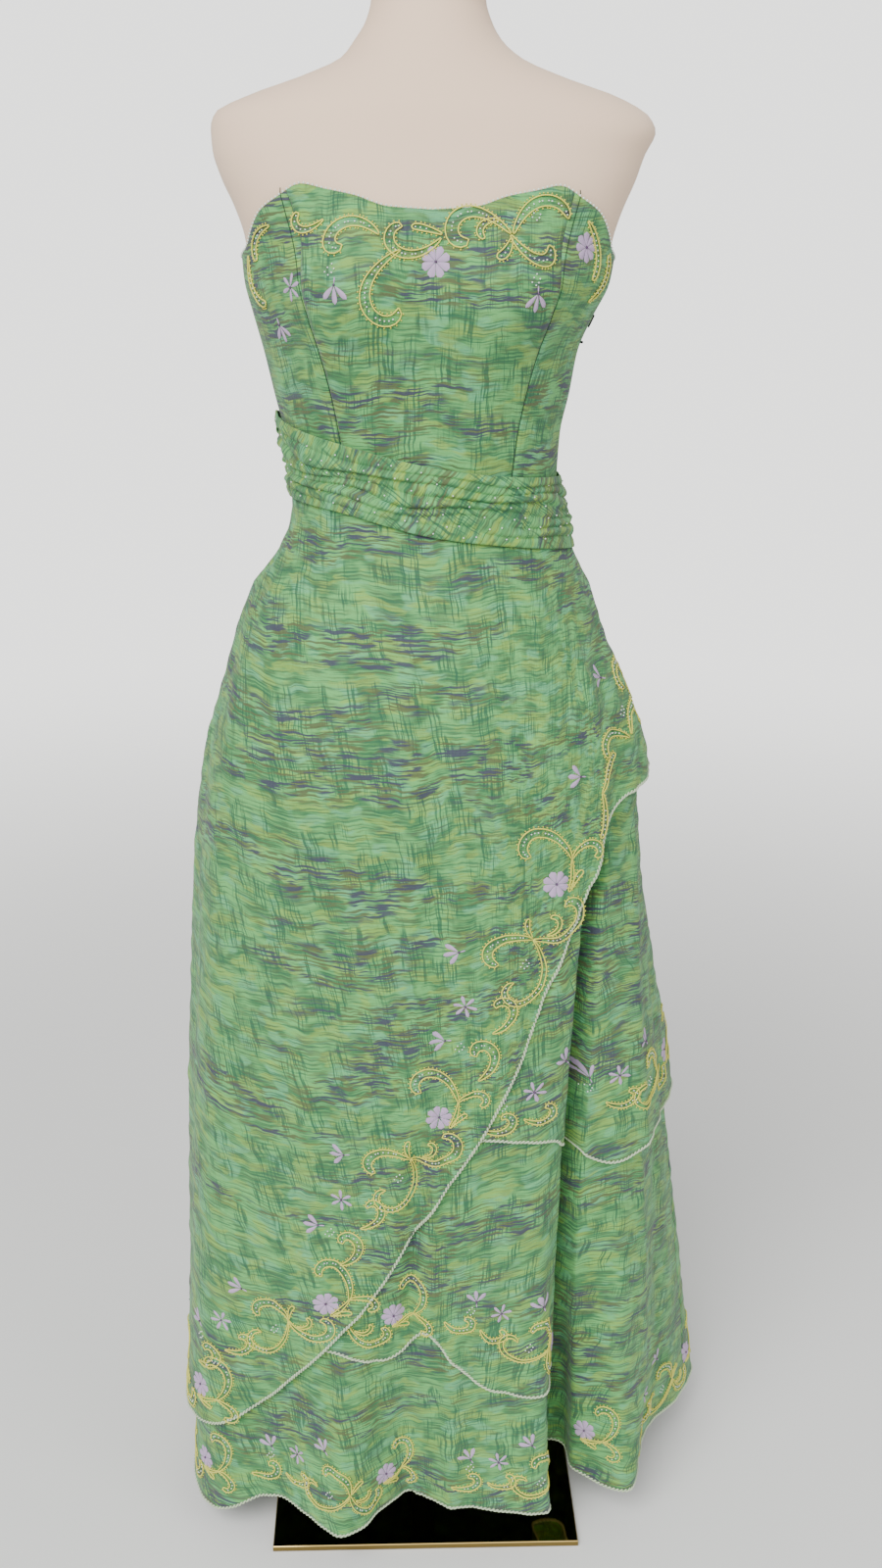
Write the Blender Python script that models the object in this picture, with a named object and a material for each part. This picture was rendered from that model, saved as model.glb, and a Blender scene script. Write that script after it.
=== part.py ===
"""Strapless tiered gown standing on a limbless dress form.

Metres, +Z up. The gown's front faces -Y and the wearer's left is +X. The origin
is the middle of the base plate's underside. A place on the cloth is a turn, in
degrees round the form from the front towards the wearer's left, and a height.
Every layer of cloth is a thin wall that follows one shared gown surface, each at
its own distance from it, so that the layers lie on each other and never cross.
"""

import math

import bpy
import numpy as np

# Driving dimensions, in metres and degrees

CLOTH = 0.0012            # thickness of one layer of cloth
BODICE_CLOTH = 0.0013     # the bodice is a little firmer
SEAM = 0.0003             # gap between two pieces that are sewn together
FORM_EASE = 0.0008        # first layer of cloth to the form at the waist
BODICE_EASE = 0.0012      # further ease of the bodice above the waist
BODICE_RUN = 0.050        # that ease grows over this height above the waist seam

WAIST_HEIGHT = 1.035      # waist seam at the front, hidden by the sash
WAIST_TILT = 0.024        # the seam rises this much at the wearer's right side
SIDE = 90.0               # turn of the side seam at the wearer's left
FAR_SIDE = 360.0 - SIDE   # turn of the other side seam, reached round the back
HEM_REST = 0.045          # mean height of the underskirt's hem

PLATE_SIDE = 0.305
PLATE_THICK = 0.0065
PLATE_EDGE = 0.0008
FLANGE_RADIUS = 0.045
FLANGE_THICK = 0.008
POLE_RADIUS = 0.0125
SOCKET_RADIUS = 0.024
SOCKET_HEIGHT = 0.030
POST_CHAMFER = 0.002
FORM_BOTTOM = 0.700

FORM_COLUMNS = 36
FORM_FINE_LEVELS = (1.192, 1.165, 1.132, 1.097, 1.062, 1.030, 0.997, 0.955)   # closer rings where it nips in
BODICE_ROWS = 8
CENTRE_COLUMNS = 16
SIDE_FRONT_COLUMNS = 6
BACK_COLUMNS = 22
SASH_COLUMNS = 22
FLANK_COLUMNS = 3         # columns of the skirt's grid from one fold line to the next
ROUND_SIDES = 24

# Level rings round the form: reach to each side of the axis, and how square the ring is
# Columns: height, left_side, right_side, front, back, square, set_back
TORSO_RINGS = (
    (1.452, 0.0420, 0.0420, 0.045, 0.045, 2.0, 0.012),
    (1.436, 0.0455, 0.0455, 0.049, 0.049, 2.0, 0.012),
    (1.420, 0.0465, 0.0465, 0.050, 0.050, 2.0, 0.012),
    (1.404, 0.0515, 0.0510, 0.054, 0.054, 2.0, 0.010),
    (1.390, 0.0600, 0.0600, 0.059, 0.059, 2.0, 0.008),
    (1.376, 0.0775, 0.0715, 0.065, 0.064, 2.0, 0.006),
    (1.362, 0.1130, 0.1030, 0.071, 0.071, 2.0, 0.004),
    (1.347, 0.1580, 0.1460, 0.078, 0.078, 2.1, 0.002),
    (1.333, 0.1815, 0.1740, 0.083, 0.083, 2.2, 0.000),
    (1.322, 0.1865, 0.1775, 0.086, 0.086, 2.3, 0.000),
    (1.305, 0.1785, 0.1765, 0.090, 0.090, 2.4, 0.000),
    (1.285, 0.1715, 0.1705, 0.095, 0.093, 2.4, 0.000),
    (1.260, 0.1615, 0.1600, 0.101, 0.096, 2.4, 0.000),
    (1.235, 0.1545, 0.1530, 0.106, 0.098, 2.3, 0.000),
    (1.205, 0.1495, 0.1505, 0.109, 0.099, 2.3, 0.000),
    (1.180, 0.1375, 0.1445, 0.107, 0.098, 2.2, 0.000),
    (1.150, 0.1250, 0.1365, 0.103, 0.096, 2.1, 0.000),
    (1.115, 0.1190, 0.1285, 0.098, 0.093, 2.1, 0.000),
    (1.080, 0.1120, 0.1205, 0.094, 0.090, 2.1, 0.000),
    (1.045, 0.1105, 0.1145, 0.092, 0.088, 2.1, 0.000),
)
SKIRT_RINGS = (
    (1.015, 0.1150, 0.1150, 0.094, 0.090, 2.1, 0.000),
    (0.980, 0.1250, 0.1250, 0.100, 0.097, 2.1, 0.000),
    (0.942, 0.1420, 0.1510, 0.110, 0.107, 2.1, 0.000),
    (0.900, 0.1555, 0.1660, 0.121, 0.118, 2.2, 0.000),
    (0.850, 0.1755, 0.1790, 0.131, 0.128, 2.3, 0.000),
    (0.800, 0.1895, 0.1935, 0.138, 0.135, 2.3, 0.000),
    (0.750, 0.1930, 0.2010, 0.142, 0.141, 2.3, 0.000),
    (0.680, 0.1970, 0.2085, 0.146, 0.149, 2.3, 0.000),
    (0.600, 0.2085, 0.2135, 0.149, 0.157, 2.3, 0.000),
    (0.450, 0.2270, 0.2225, 0.153, 0.170, 2.3, 0.000),
    (0.250, 0.2420, 0.2285, 0.157, 0.185, 2.3, 0.000),
    (0.020, 0.2520, 0.2340, 0.161, 0.200, 2.3, 0.000),
)
HIP_RINGS = (
    (1.015, 0.1140, 0.1140, 0.0930, 0.0890, 2.1, 0.000),
    (0.980, 0.1210, 0.1210, 0.0970, 0.0940, 2.1, 0.000),
    (0.930, 0.1400, 0.1400, 0.1060, 0.1040, 2.1, 0.000),
    (0.880, 0.1570, 0.1570, 0.1130, 0.1130, 2.2, 0.000),
    (0.830, 0.1650, 0.1650, 0.1160, 0.1180, 2.2, 0.000),
    (0.770, 0.1620, 0.1620, 0.1120, 0.1140, 2.2, 0.000),
    (0.715, 0.1540, 0.1540, 0.1050, 0.1080, 2.2, 0.000),
    (FORM_BOTTOM, 0.1440, 0.1440, 0.0960, 0.0990, 2.2, 0.000),
)

BUST_HEIGHT = 1.195
BUST_TURN = 29.0
BUST_OUT = 0.020
BUST_SPREAD = 21.0
BUST_UP = 0.050
BUST_DOWN = 0.060
BUST_MERGE = 1.05         # the two rounds melt into one here, as over a cup seam

# Folds of the skirt: each row is the crest or the hollow of one fold, which runs from
# its start height down to the hem, where it stands out from the ring by "out"
# Columns: turn, turn_at_hem, out, start_height
FOLDS = (
    (-180.0, -180.0, 0.030, 0.60),
    (-163.0, -163.0, -0.018, 0.50),
    (-146.0, -146.0, 0.028, 0.55),
    (-128.0, -128.0, -0.015, 0.45),
    (-110.0, -110.0, 0.022, 0.50),
    (-90.0, -90.0, -0.004, 0.60),
    (-62.0, -60.0, 0.030, 0.60),
    (-44.0, -46.0, 0.002, 0.35),
    (-26.0, -25.0, 0.028, 0.45),
    (-8.0, -8.0, -0.030, 0.40),
    (12.0, 13.0, -0.006, 0.50),
    (33.0, 36.0, 0.014, 0.62),
    (43.0, 46.0, -0.050, 0.72),
    (50.0, 53.0, -0.052, 0.72),
    (60.0, 58.0, 0.016, 0.70),
    (73.0, 74.0, -0.010, 0.55),
    (98.0, 103.0, 0.052, 0.62),
    (118.0, 120.0, -0.016, 0.50),
    (134.0, 134.0, 0.026, 0.55),
    (150.0, 150.0, -0.016, 0.50),
    (165.0, 165.0, 0.024, 0.55),
)
FOLD_GROWTH = 1.6         # how late on its way down a fold opens
FOLD_MOST = 1.2           # a fold opens no further than this below the mean hem

# Edges of the pieces, mirrored from front to back
# Columns: turn, height
NECKLINE = (
    (0.0, 1.258), (18.0, 1.260), (31.0, 1.268), (42.0, 1.273), (50.0, 1.277), (57.0, 1.268),
    (63.0, 1.259), (69.0, 1.245), (76.0, 1.229), (90.0, 1.222), (180.0, 1.218),
)
OVERLAY_HEM = (
    (-90.0, 0.120), (-63.0, 0.134), (-51.0, 0.170), (-36.0, 0.227), (-24.0, 0.283),
    (-10.0, 0.349), (7.0, 0.426), (18.0, 0.476), (28.0, 0.541), (37.0, 0.613),
    (45.0, 0.666), (52.0, 0.712), (57.0, 0.757), (66.0, 0.775), (90.0, 0.782),
)
MIDDLE_HEM = (
    (-30.0, 0.474), (17.0, 0.470), (36.0, 0.461), (44.0, 0.449), (50.0, 0.435), (57.0, 0.422),
    (66.0, 0.430), (90.0, 0.434),
)
FRONT_FLOUNCE_HEM = (
    (-48.0, 0.246), (-29.0, 0.245), (-16.0, 0.233), (-10.0, 0.240), (-0.5, 0.262),
    (9.0, 0.230), (21.0, 0.198), (34.0, 0.190), (50.0, 0.192),
)
UNDERSKIRT_HEM = (
    (-180.0, 0.046), (-146.0, 0.050), (-110.0, 0.045), (-90.0, 0.050), (-62.0, 0.034),
    (-46.0, 0.056), (-25.0, 0.050), (-8.0, 0.056), (12.0, 0.056), (34.0, 0.052),
    (50.0, 0.058), (58.0, 0.050), (74.0, 0.058), (100.0, 0.050), (134.0, 0.046), (180.0, 0.046),
)
# Columns: turn, top, bottom
SASH_EDGES = (
    (-90.0, 1.099, 1.028), (-50.0, 1.082, 1.023), (0.0, 1.062, 1.004),
    (40.0, 1.052, 0.993), (90.0, 1.043, 0.978),
)
# Columns: height, turn
PRINCESS = (
    (1.030, 41.0), (1.090, 43.0), (1.140, 43.8), (1.180, 44.5), (1.210, 46.5),
    (1.240, 51.5), (1.270, 56.0),
)

# Distance of each skirt layer's inner face from the gown surface
# Columns: height, lift
UNDERSKIRT_LIFT = FORM_EASE
SEWN_LIFT = UNDERSKIRT_LIFT + CLOTH + SEAM
OVERLAY_LIFT = (
    (0.100, 0.0125), (0.300, 0.0095), (0.600, 0.0088), (0.780, 0.0078), (0.860, 0.0060),
    (0.940, 0.0040), (1.000, SEWN_LIFT),
)
MIDDLE_TOP = 0.800        # seam of the middle tier on the underskirt
MIDDLE_SECOND = 0.760
FLOUNCE_TOP = 0.530       # seam of the front flounce on the underskirt
FLOUNCE_SECOND = 0.490
MIDDLE_LIFT = (
    (0.400, 0.0068), (0.600, 0.0056), (0.700, 0.0040), (MIDDLE_SECOND, SEWN_LIFT), (MIDDLE_TOP, SEWN_LIFT),
)
FLOUNCE_LIFT = ((0.190, 0.0040), (0.440, 0.0034), (FLOUNCE_SECOND, SEWN_LIFT), (FLOUNCE_TOP, SEWN_LIFT))
# The form lies a little inside the gown surface, closest at the waist, where the gown grips it
FORM_LIFT = (
    (0.700, -0.0010), (0.990, -0.0005), (1.040, -0.0002), (1.080, -0.0008), (1.150, -0.0012),
    (1.240, -0.0012), (1.290, 0.0), (1.452, 0.0),
)
CORNER_FLARE = 0.0060     # the overlay's pointed corner stands off at the wearer's left hip
CORNER_TURN = 52.0
CORNER_TOP = 0.860
CONE_FLARE = 0.0040       # the middle tier stands off over the wearer's left side
FLARE_RUN = 20.0
FLARE_DROP = 0.090
CONE_RUN = 0.400

# Rows of the grids: drops below the waist seam that both skirts share, then levels, or
# shares of the way down to the hem. Two sewn layers share the two rows at their seam
WAIST_DROPS = (0.0, 0.018, 0.040, 0.065, 0.095)
UNDERSKIRT_LEVELS = (
    0.870, MIDDLE_TOP, MIDDLE_SECOND, 0.680, 0.600, FLOUNCE_TOP, FLOUNCE_SECOND, 0.400, 0.310, 0.220, 0.130,
)
OVERLAY_STEPS = (0.13, 0.28, 0.44, 0.62, 0.81, 1.0)
MIDDLE_STEPS = (0.20, 0.40, 0.60, 0.80, 1.0)
FLOUNCE_STEPS = (0.25, 0.50, 0.75, 1.0)

MIDDLE_START = -22.0      # the middle tier begins here, under the overlay
FLOUNCE_START = -47.0
FLOUNCE_END = 46.0        # the front flounce ends in the deep hollow

SASH_EASE = 0.0013        # the sash lies this far off the skirt's top edge
SASH_LIFT = SEWN_LIFT + CLOTH + SASH_EASE
SASH_BODY = 0.0016        # least thickness of the sash between two folds
SASH_FOLD = 0.0042        # height of a fold of the sash
SASH_FOLDS = 6
SASH_DRIFT = 0.55         # the folds fan out: they drift this far across the band
SASH_EDGE = 0.04          # share of the band where it thins to its edges

COLOURS = {
    "cloth": (0.135, 0.330, 0.120),
    "sash": (0.150, 0.250, 0.110),
    "jersey": (0.640, 0.500, 0.420),
    "gold": (0.160, 0.120, 0.040),
    "steel": (0.550, 0.540, 0.520),
}


def curve_through(rows, x):
    """Smooth curve through the rows' points that never swings past them."""
    xs = np.array([row[0] for row in rows], dtype=float)
    ys = np.array([row[1] for row in rows], dtype=float)
    x = np.clip(np.asarray(x, dtype=float), xs[0], xs[-1])
    step = np.diff(xs)
    slope = np.diff(ys) / step
    tangent = np.zeros_like(ys)
    same = slope[:-1] * slope[1:] > 0.0
    mean = 2.0 * slope[:-1] * slope[1:] / np.where(same, slope[:-1] + slope[1:], 1.0)
    tangent[1:-1] = np.where(same, mean, 0.0)
    tangent[0] = slope[0]
    tangent[-1] = slope[-1]
    i = np.clip(np.searchsorted(xs, x, side="right") - 1, 0, len(xs) - 2)
    t = (x - xs[i]) / step[i]
    start = (1.0 + 2.0 * t) * (1.0 - t) ** 2 * ys[i] + t * (1.0 - t) ** 2 * step[i] * tangent[i]
    end = t * t * (3.0 - 2.0 * t) * ys[i + 1] - t * t * (1.0 - t) * step[i] * tangent[i + 1]
    return start + end


def ease(t):
    """Soft step from 0 to 1."""
    t = np.clip(t, 0.0, 1.0)
    return t * t * (3.0 - 2.0 * t)


def wrapped(turn):
    """Turn brought into the range from -180 up to 180."""
    return (np.asarray(turn, dtype=float) + 180.0) % 360.0 - 180.0


def to_front(turn):
    """Turn of the place on the front that mirrors a place on the back."""
    turn = wrapped(turn)
    return np.where(turn > SIDE, 180.0 - turn, np.where(turn < -SIDE, -180.0 - turn, turn))


def ring_reach(rings, turn, height):
    """Distance of a ring from its middle, a squared ellipse, and how far back its middle lies."""
    rows = sorted(rings)
    left, right, front, back, square, set_back = (
        curve_through([(row[0], row[k]) for row in rows], height) for k in range(1, len(rows[0]))
    )
    across = np.sin(np.radians(turn))
    along = np.cos(np.radians(turn))
    side_reach = np.where(across >= 0.0, left, right)
    depth_reach = np.where(along >= 0.0, front, back)
    total = np.abs(across / side_reach) ** square + np.abs(along / depth_reach) ** square
    return total ** (-1.0 / square), set_back


def bust(turn, height):
    """Outward round of the bust, one soft hill on each side that melt into each other."""
    drop = height - BUST_HEIGHT
    rise = np.where(drop > 0.0, drop / BUST_UP, drop / BUST_DOWN)
    hills = 0.0
    for side in (-1.0, 1.0):
        hills = hills + np.exp(-(((wrapped(turn) - side * BUST_TURN) / BUST_SPREAD) ** 2))
    return BUST_OUT * np.minimum(hills, BUST_MERGE) * np.exp(-rise * rise)


def fold_shift(turn, height):
    """How far the folds push a place outwards, and how far they turn it."""
    rows = np.array(FOLDS)
    starts = np.append(rows[:, 0], rows[0, 0] + 360.0)
    turn = wrapped(turn)
    i = np.clip(np.searchsorted(starts, turn, side="right") - 1, 0, len(rows) - 1)
    j = (i + 1) % len(rows)
    t = ease((turn - starts[i]) / (starts[i + 1] - starts[i]))

    def growth(k):
        run = (rows[k, 3] - height) / (rows[k, 3] - HEM_REST)
        return np.clip(run, 0.0, FOLD_MOST) ** FOLD_GROWTH

    near = (1.0 - t) * growth(i)
    far = t * growth(j)
    out = near * rows[i, 2] + far * rows[j, 2]
    swing = near * (rows[i, 1] - rows[i, 0]) + far * (rows[j, 1] - rows[j, 0])
    return out, swing


def surface_point(rings, turn, height, folded):
    """Point of the form or the gown surface."""
    out, swing = fold_shift(turn, height) if folded else (0.0, 0.0)
    turn = turn + swing
    reach, set_back = ring_reach(rings, turn, height)
    reach = reach + out + bust(turn, height)
    angle = np.radians(turn)
    return np.stack([reach * np.sin(angle), set_back - reach * np.cos(angle), height + 0.0 * reach], axis=-1)


def lifted(rings, turn, height, lift, folded=True):
    """Surface points moved outwards, square to the surface, by the lift."""
    turn, height, lift = np.broadcast_arrays(
        np.asarray(turn, dtype=float), np.asarray(height, dtype=float), np.asarray(lift, dtype=float)
    )
    small_turn = 0.05
    small_rise = 0.0005
    across = surface_point(rings, turn + small_turn, height, folded)
    across = across - surface_point(rings, turn - small_turn, height, folded)
    rise = surface_point(rings, turn, height + small_rise, folded)
    rise = rise - surface_point(rings, turn, height - small_rise, folded)
    normal = np.cross(across, rise)
    normal = normal / np.linalg.norm(normal, axis=-1, keepdims=True)
    return surface_point(rings, turn, height, folded) + normal * lift[..., None]


GOWN_RINGS = SKIRT_RINGS + TORSO_RINGS
FORM_RINGS = HIP_RINGS + TORSO_RINGS


def waist_height(turn):
    """Height of the waist seam, which tilts up at the wearer's right side."""
    return WAIST_HEIGHT - WAIST_TILT * np.sin(np.radians(to_front(turn)))


def make_material(name, colour, roughness, metallic=0.0):
    """Principled material."""
    material = bpy.data.materials.new(name)
    material.use_nodes = True
    shader = material.node_tree.nodes["Principled BSDF"]
    shader.inputs["Base Color"].default_value = (*colour, 1.0)
    shader.inputs["Roughness"].default_value = roughness
    shader.inputs["Metallic"].default_value = metallic
    material.diffuse_color = (*colour, 1.0)
    return material


def add_object(name, points, faces, material):
    """Object from points and faces, shaded smooth with its sharp edges kept."""
    mesh = bpy.data.meshes.new(name)
    mesh.from_pydata([tuple(point) for point in points], [], faces)
    mesh.materials.append(material)
    mesh.shade_smooth()
    mesh.set_sharp_from_angle(angle=math.radians(40.0))
    piece = bpy.data.objects.new(name, mesh)
    bpy.context.scene.collection.objects.link(piece)
    return piece


def panel_wall(name, inner, outer, material):
    """Closed wall between two grids of points: rows go down, columns go round to the left."""
    rows, columns = inner.shape[:2]
    points = np.concatenate([outer.reshape(-1, 3), inner.reshape(-1, 3)])
    inside = rows * columns
    faces = []

    def at(row, column, side):
        return side * inside + row * columns + column

    for row in range(rows - 1):
        for column in range(columns - 1):
            corners = ((row, column), (row + 1, column), (row + 1, column + 1), (row, column + 1))
            faces.append([at(*corner, 0) for corner in corners])
            faces.append([at(*corner, 1) for corner in reversed(corners)])
    top = [(0, column) for column in range(columns)]
    left = [(row, columns - 1) for row in range(1, rows)]
    bottom = [(rows - 1, column) for column in range(columns - 2, -1, -1)]
    right = [(row, 0) for row in range(rows - 2, 0, -1)]
    rim = top + left + bottom + right
    for start, end in zip(rim, rim[1:] + rim[:1]):
        faces.append([at(*start, 1), at(*start, 0), at(*end, 0), at(*end, 1)])
    return add_object(name, points, faces, material)


def seam_gap(turns, heights):
    """First and last column drawn in by half a seam's gap."""
    turns = np.array(turns, dtype=float)
    for column, sign in ((0, 1.0), (-1, -1.0)):
        reach, _ = ring_reach(GOWN_RINGS, turns[:, column], heights[:, column])
        turns[:, column] += sign * np.degrees(SEAM / 2.0 / reach)
    return turns


def skirt_turns(start, end):
    """Columns of a skirt piece: the fold lines, and evenly spaced ones between them."""
    lines = [row[0] for row in FOLDS]
    lines = lines + [line + 360.0 for line in lines]
    turns = []
    for line, following in zip(lines, lines[1:]):
        turns += [line + (following - line) * k / FLANK_COLUMNS for k in range(FLANK_COLUMNS)]
    least_step = 2.0
    inside = [turn for turn in turns if start + least_step < turn < end - least_step]
    return np.array([start] + inside + [end])


def skirt_piece(name, turns, heights, lift, material):
    """Skirt piece from its columns, the heights of its grid and its inner face's lift."""
    grid_turns = seam_gap(np.broadcast_to(turns, heights.shape), heights)
    inner = lifted(GOWN_RINGS, grid_turns, heights, lift)
    outer = lifted(GOWN_RINGS, grid_turns, heights, lift + CLOTH)
    return panel_wall(name, inner, outer, material)


def stepped_heights(upper_rows, hem, steps):
    """Heights of a grid: its upper rows, then rows that share out the way down to the hem."""
    upper = np.array([row + 0.0 * hem for row in upper_rows])
    steps = np.array(steps)[:, None]
    return np.concatenate([upper, upper[-1] + (hem - upper[-1]) * steps])


def waist_rows(turns):
    """Rows just below the waist seam, which the two skirts share."""
    return [waist_height(turns) - SEAM - drop for drop in WAIST_DROPS]


def underskirt(name, start, end, material):
    """Full-length underskirt piece, from the waist seam to the waved hem."""
    turns = skirt_turns(start, end)
    hem = curve_through(UNDERSKIRT_HEM, wrapped(turns))
    levels = [np.full_like(turns, level) for level in UNDERSKIRT_LEVELS]
    heights = np.stack(waist_rows(turns) + levels + [hem])
    return skirt_piece(name, turns, heights, UNDERSKIRT_LIFT, material)


def overlay(name, start, end, material):
    """Upper skirt whose slanting hem climbs from the wearer's right shin to the left hip."""
    turns = skirt_turns(start, end)
    hem = curve_through(OVERLAY_HEM, to_front(turns))
    heights = stepped_heights(waist_rows(turns), hem, OVERLAY_STEPS)
    flare = ease((to_front(turns) - CORNER_TURN) / FLARE_RUN) * ease((CORNER_TOP - heights) / FLARE_DROP)
    lift = curve_through(OVERLAY_LIFT, heights) + CORNER_FLARE * flare
    return skirt_piece(name, turns, heights, lift, material)


def middle_tier(name, start, end, material):
    """Middle flounce, sewn to the underskirt under the overlay."""
    turns = skirt_turns(start, end)
    hem = curve_through(MIDDLE_HEM, to_front(turns))
    heights = stepped_heights((MIDDLE_TOP, MIDDLE_SECOND), hem, MIDDLE_STEPS)
    flare = ease((to_front(turns) - CORNER_TURN) / FLARE_RUN) * ease((MIDDLE_TOP - heights) / CONE_RUN)
    lift = curve_through(MIDDLE_LIFT, heights) + CONE_FLARE * flare
    return skirt_piece(name, turns, heights, lift, material)


def front_flounce(name, material):
    """Lower flounce, on the front only, which ends in the deep hollow."""
    turns = skirt_turns(FLOUNCE_START, FLOUNCE_END)
    hem = curve_through(FRONT_FLOUNCE_HEM, turns)
    heights = stepped_heights((FLOUNCE_TOP, FLOUNCE_SECOND), hem, FLOUNCE_STEPS)
    return skirt_piece(name, turns, heights, curve_through(FLOUNCE_LIFT, heights), material)


def princess_turn(height):
    """Turn of the curved seam between the bodice's front and its side front."""
    return curve_through(PRINCESS, height)


def right_princess(height):
    """Turn of the same seam at the wearer's right."""
    return -princess_turn(height)


def side_seam(height):
    """Turn of the side seam, the same at every height."""
    return SIDE + 0.0 * height


def right_side_seam(height):
    """Turn of the side seam at the wearer's right, seen from the front."""
    return -SIDE + 0.0 * height


def far_side_seam(height):
    """Turn of that seam reached round the back."""
    return FAR_SIDE + 0.0 * height


def bodice_panel(name, right_edge, left_edge, columns, material):
    """Bodice panel between two seams, each given as a function from height to turn."""
    share = np.linspace(0.0, 1.0, BODICE_ROWS + 1)[:, None]
    across = np.linspace(0.0, 1.0, columns + 1)[None, :]
    high = NECKLINE[0][1]
    rough_height = high + (WAIST_HEIGHT - high) * share
    turns = right_edge(rough_height) * (1.0 - across) + left_edge(rough_height) * across
    turns = seam_gap(turns, rough_height + 0.0 * turns)
    top = curve_through(NECKLINE, np.abs(wrapped(turns)))
    heights = top + (waist_height(turns) - top) * share
    above = ease((heights - waist_height(turns)) / BODICE_RUN)
    lift = FORM_EASE + BODICE_EASE * above
    inner = lifted(GOWN_RINGS, turns, heights, lift)
    outer = lifted(GOWN_RINGS, turns, heights, lift + BODICE_CLOTH)
    return panel_wall(name, inner, outer, material)


def sash(name, start, end, material):
    """Gathered band round the waist: folds raised on its outside, plain inside."""
    turns = np.linspace(start, end, SASH_COLUMNS + 1)
    top = curve_through([(row[0], row[1]) for row in SASH_EDGES], to_front(turns))
    bottom = curve_through([(row[0], row[2]) for row in SASH_EDGES], to_front(turns))
    rows = 2 * SASH_FOLDS + 1
    down = np.linspace(0.0, 1.0, rows)[:, None]
    heights = top + (bottom - top) * down
    turns = seam_gap(np.broadcast_to(turns, heights.shape), heights)
    drift = SASH_DRIFT * to_front(turns) / SIDE / SASH_FOLDS
    wave = 0.5 - 0.5 * np.cos(2.0 * math.pi * SASH_FOLDS * (down + drift * np.sin(math.pi * down)))
    thin = np.sqrt(np.sin(math.pi * np.clip(down, SASH_EDGE, 1.0 - SASH_EDGE)))
    body = SASH_BODY + SASH_FOLD * wave * thin
    inner = lifted(GOWN_RINGS, turns, heights, SASH_LIFT)
    outer = lifted(GOWN_RINGS, turns, heights, SASH_LIFT + body)
    return panel_wall(name, inner, outer, material)


def closed_rings(name, loops, material):
    """Closed solid through rings of points from top to bottom, with a cap at each end."""
    count = len(loops[0])
    points = np.concatenate(loops)
    faces = [list(range(count))]
    for level in range(len(loops) - 1):
        for k in range(count):
            nxt = (k + 1) % count
            upper = level * count
            lower = upper + count
            faces.append([upper + k, lower + k, lower + nxt, upper + nxt])
    last = (len(loops) - 1) * count
    faces.append([last + k for k in reversed(range(count))])
    return add_object(name, points, faces, material)


def dress_form(material):
    """Limbless dress form: neck, round shoulders, bust, waist and hips."""
    levels = [row[0] for row in FORM_RINGS] + list(FORM_FINE_LEVELS)
    levels = sorted(levels, reverse=True)
    turns = np.arange(FORM_COLUMNS) * 360.0 / FORM_COLUMNS
    lifts = curve_through(FORM_LIFT, levels)
    loops = [lifted(FORM_RINGS, turns, level, lift, folded=False) for level, lift in zip(levels, lifts)]
    return closed_rings("dress_form", loops, material)


def turned_post(name, profile, material):
    """Round upright solid from rows of height and radius, top to bottom."""
    angles = np.arange(ROUND_SIDES) * 2.0 * math.pi / ROUND_SIDES
    loops = []
    for height, radius in profile:
        level = np.full(ROUND_SIDES, height)
        loops.append(np.stack([radius * np.sin(angles), -radius * np.cos(angles), level], axis=-1))
    return closed_rings(name, loops, material)


def base_plate(material):
    """Square plate with lightly rounded edges, its underside at height zero."""
    half = PLATE_SIDE / 2.0
    inset = half - PLATE_EDGE
    loops = []
    for height, reach in (
        (PLATE_THICK, inset),
        (PLATE_THICK - PLATE_EDGE, half),
        (PLATE_EDGE, half),
        (0.0, inset),
    ):
        corners = ((-reach, -reach), (reach, -reach), (reach, reach), (-reach, reach))
        loops.append(np.array([(x, y, height) for x, y in corners]))
    return closed_rings("base_plate", loops, material)


def stand(gold, steel):
    """Base plate, flange, pole and the socket under the form."""
    base_plate(gold)
    flange_foot = PLATE_THICK + SEAM
    flange_top = flange_foot + FLANGE_THICK
    flange_profile = (
        (flange_top, FLANGE_RADIUS - POST_CHAMFER),
        (flange_top - POST_CHAMFER, FLANGE_RADIUS),
        (flange_foot, FLANGE_RADIUS),
    )
    turned_post("pole_flange", flange_profile, steel)
    socket_top = FORM_BOTTOM - SEAM
    socket_foot = socket_top - SOCKET_HEIGHT
    turned_post("pole", ((socket_foot - SEAM, POLE_RADIUS), (flange_top + SEAM, POLE_RADIUS)), steel)
    socket_profile = (
        (socket_top, SOCKET_RADIUS),
        (socket_foot + POST_CHAMFER, SOCKET_RADIUS),
        (socket_foot, SOCKET_RADIUS - POST_CHAMFER),
    )
    turned_post("pole_socket", socket_profile, steel)


def gown(cloth, band):
    """All pieces of the gown."""
    bodice_panel("bodice_centre_front", right_princess, princess_turn, CENTRE_COLUMNS, cloth)
    bodice_panel("bodice_side_front_left", princess_turn, side_seam, SIDE_FRONT_COLUMNS, cloth)
    bodice_panel("bodice_side_front_right", right_side_seam, right_princess, SIDE_FRONT_COLUMNS, cloth)
    bodice_panel("bodice_back", side_seam, far_side_seam, BACK_COLUMNS, cloth)
    sash("sash_front", -SIDE, SIDE, band)
    sash("sash_back", SIDE, FAR_SIDE, band)
    overlay("overlay_front", -SIDE, SIDE, cloth)
    overlay("overlay_back", SIDE, FAR_SIDE, cloth)
    middle_tier("middle_tier_front", MIDDLE_START, SIDE, cloth)
    middle_tier("middle_tier_back", SIDE, 180.0 - MIDDLE_START, cloth)
    front_flounce("front_flounce", cloth)
    underskirt("underskirt_front", -SIDE, SIDE, cloth)
    underskirt("underskirt_back", SIDE, FAR_SIDE, cloth)


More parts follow.
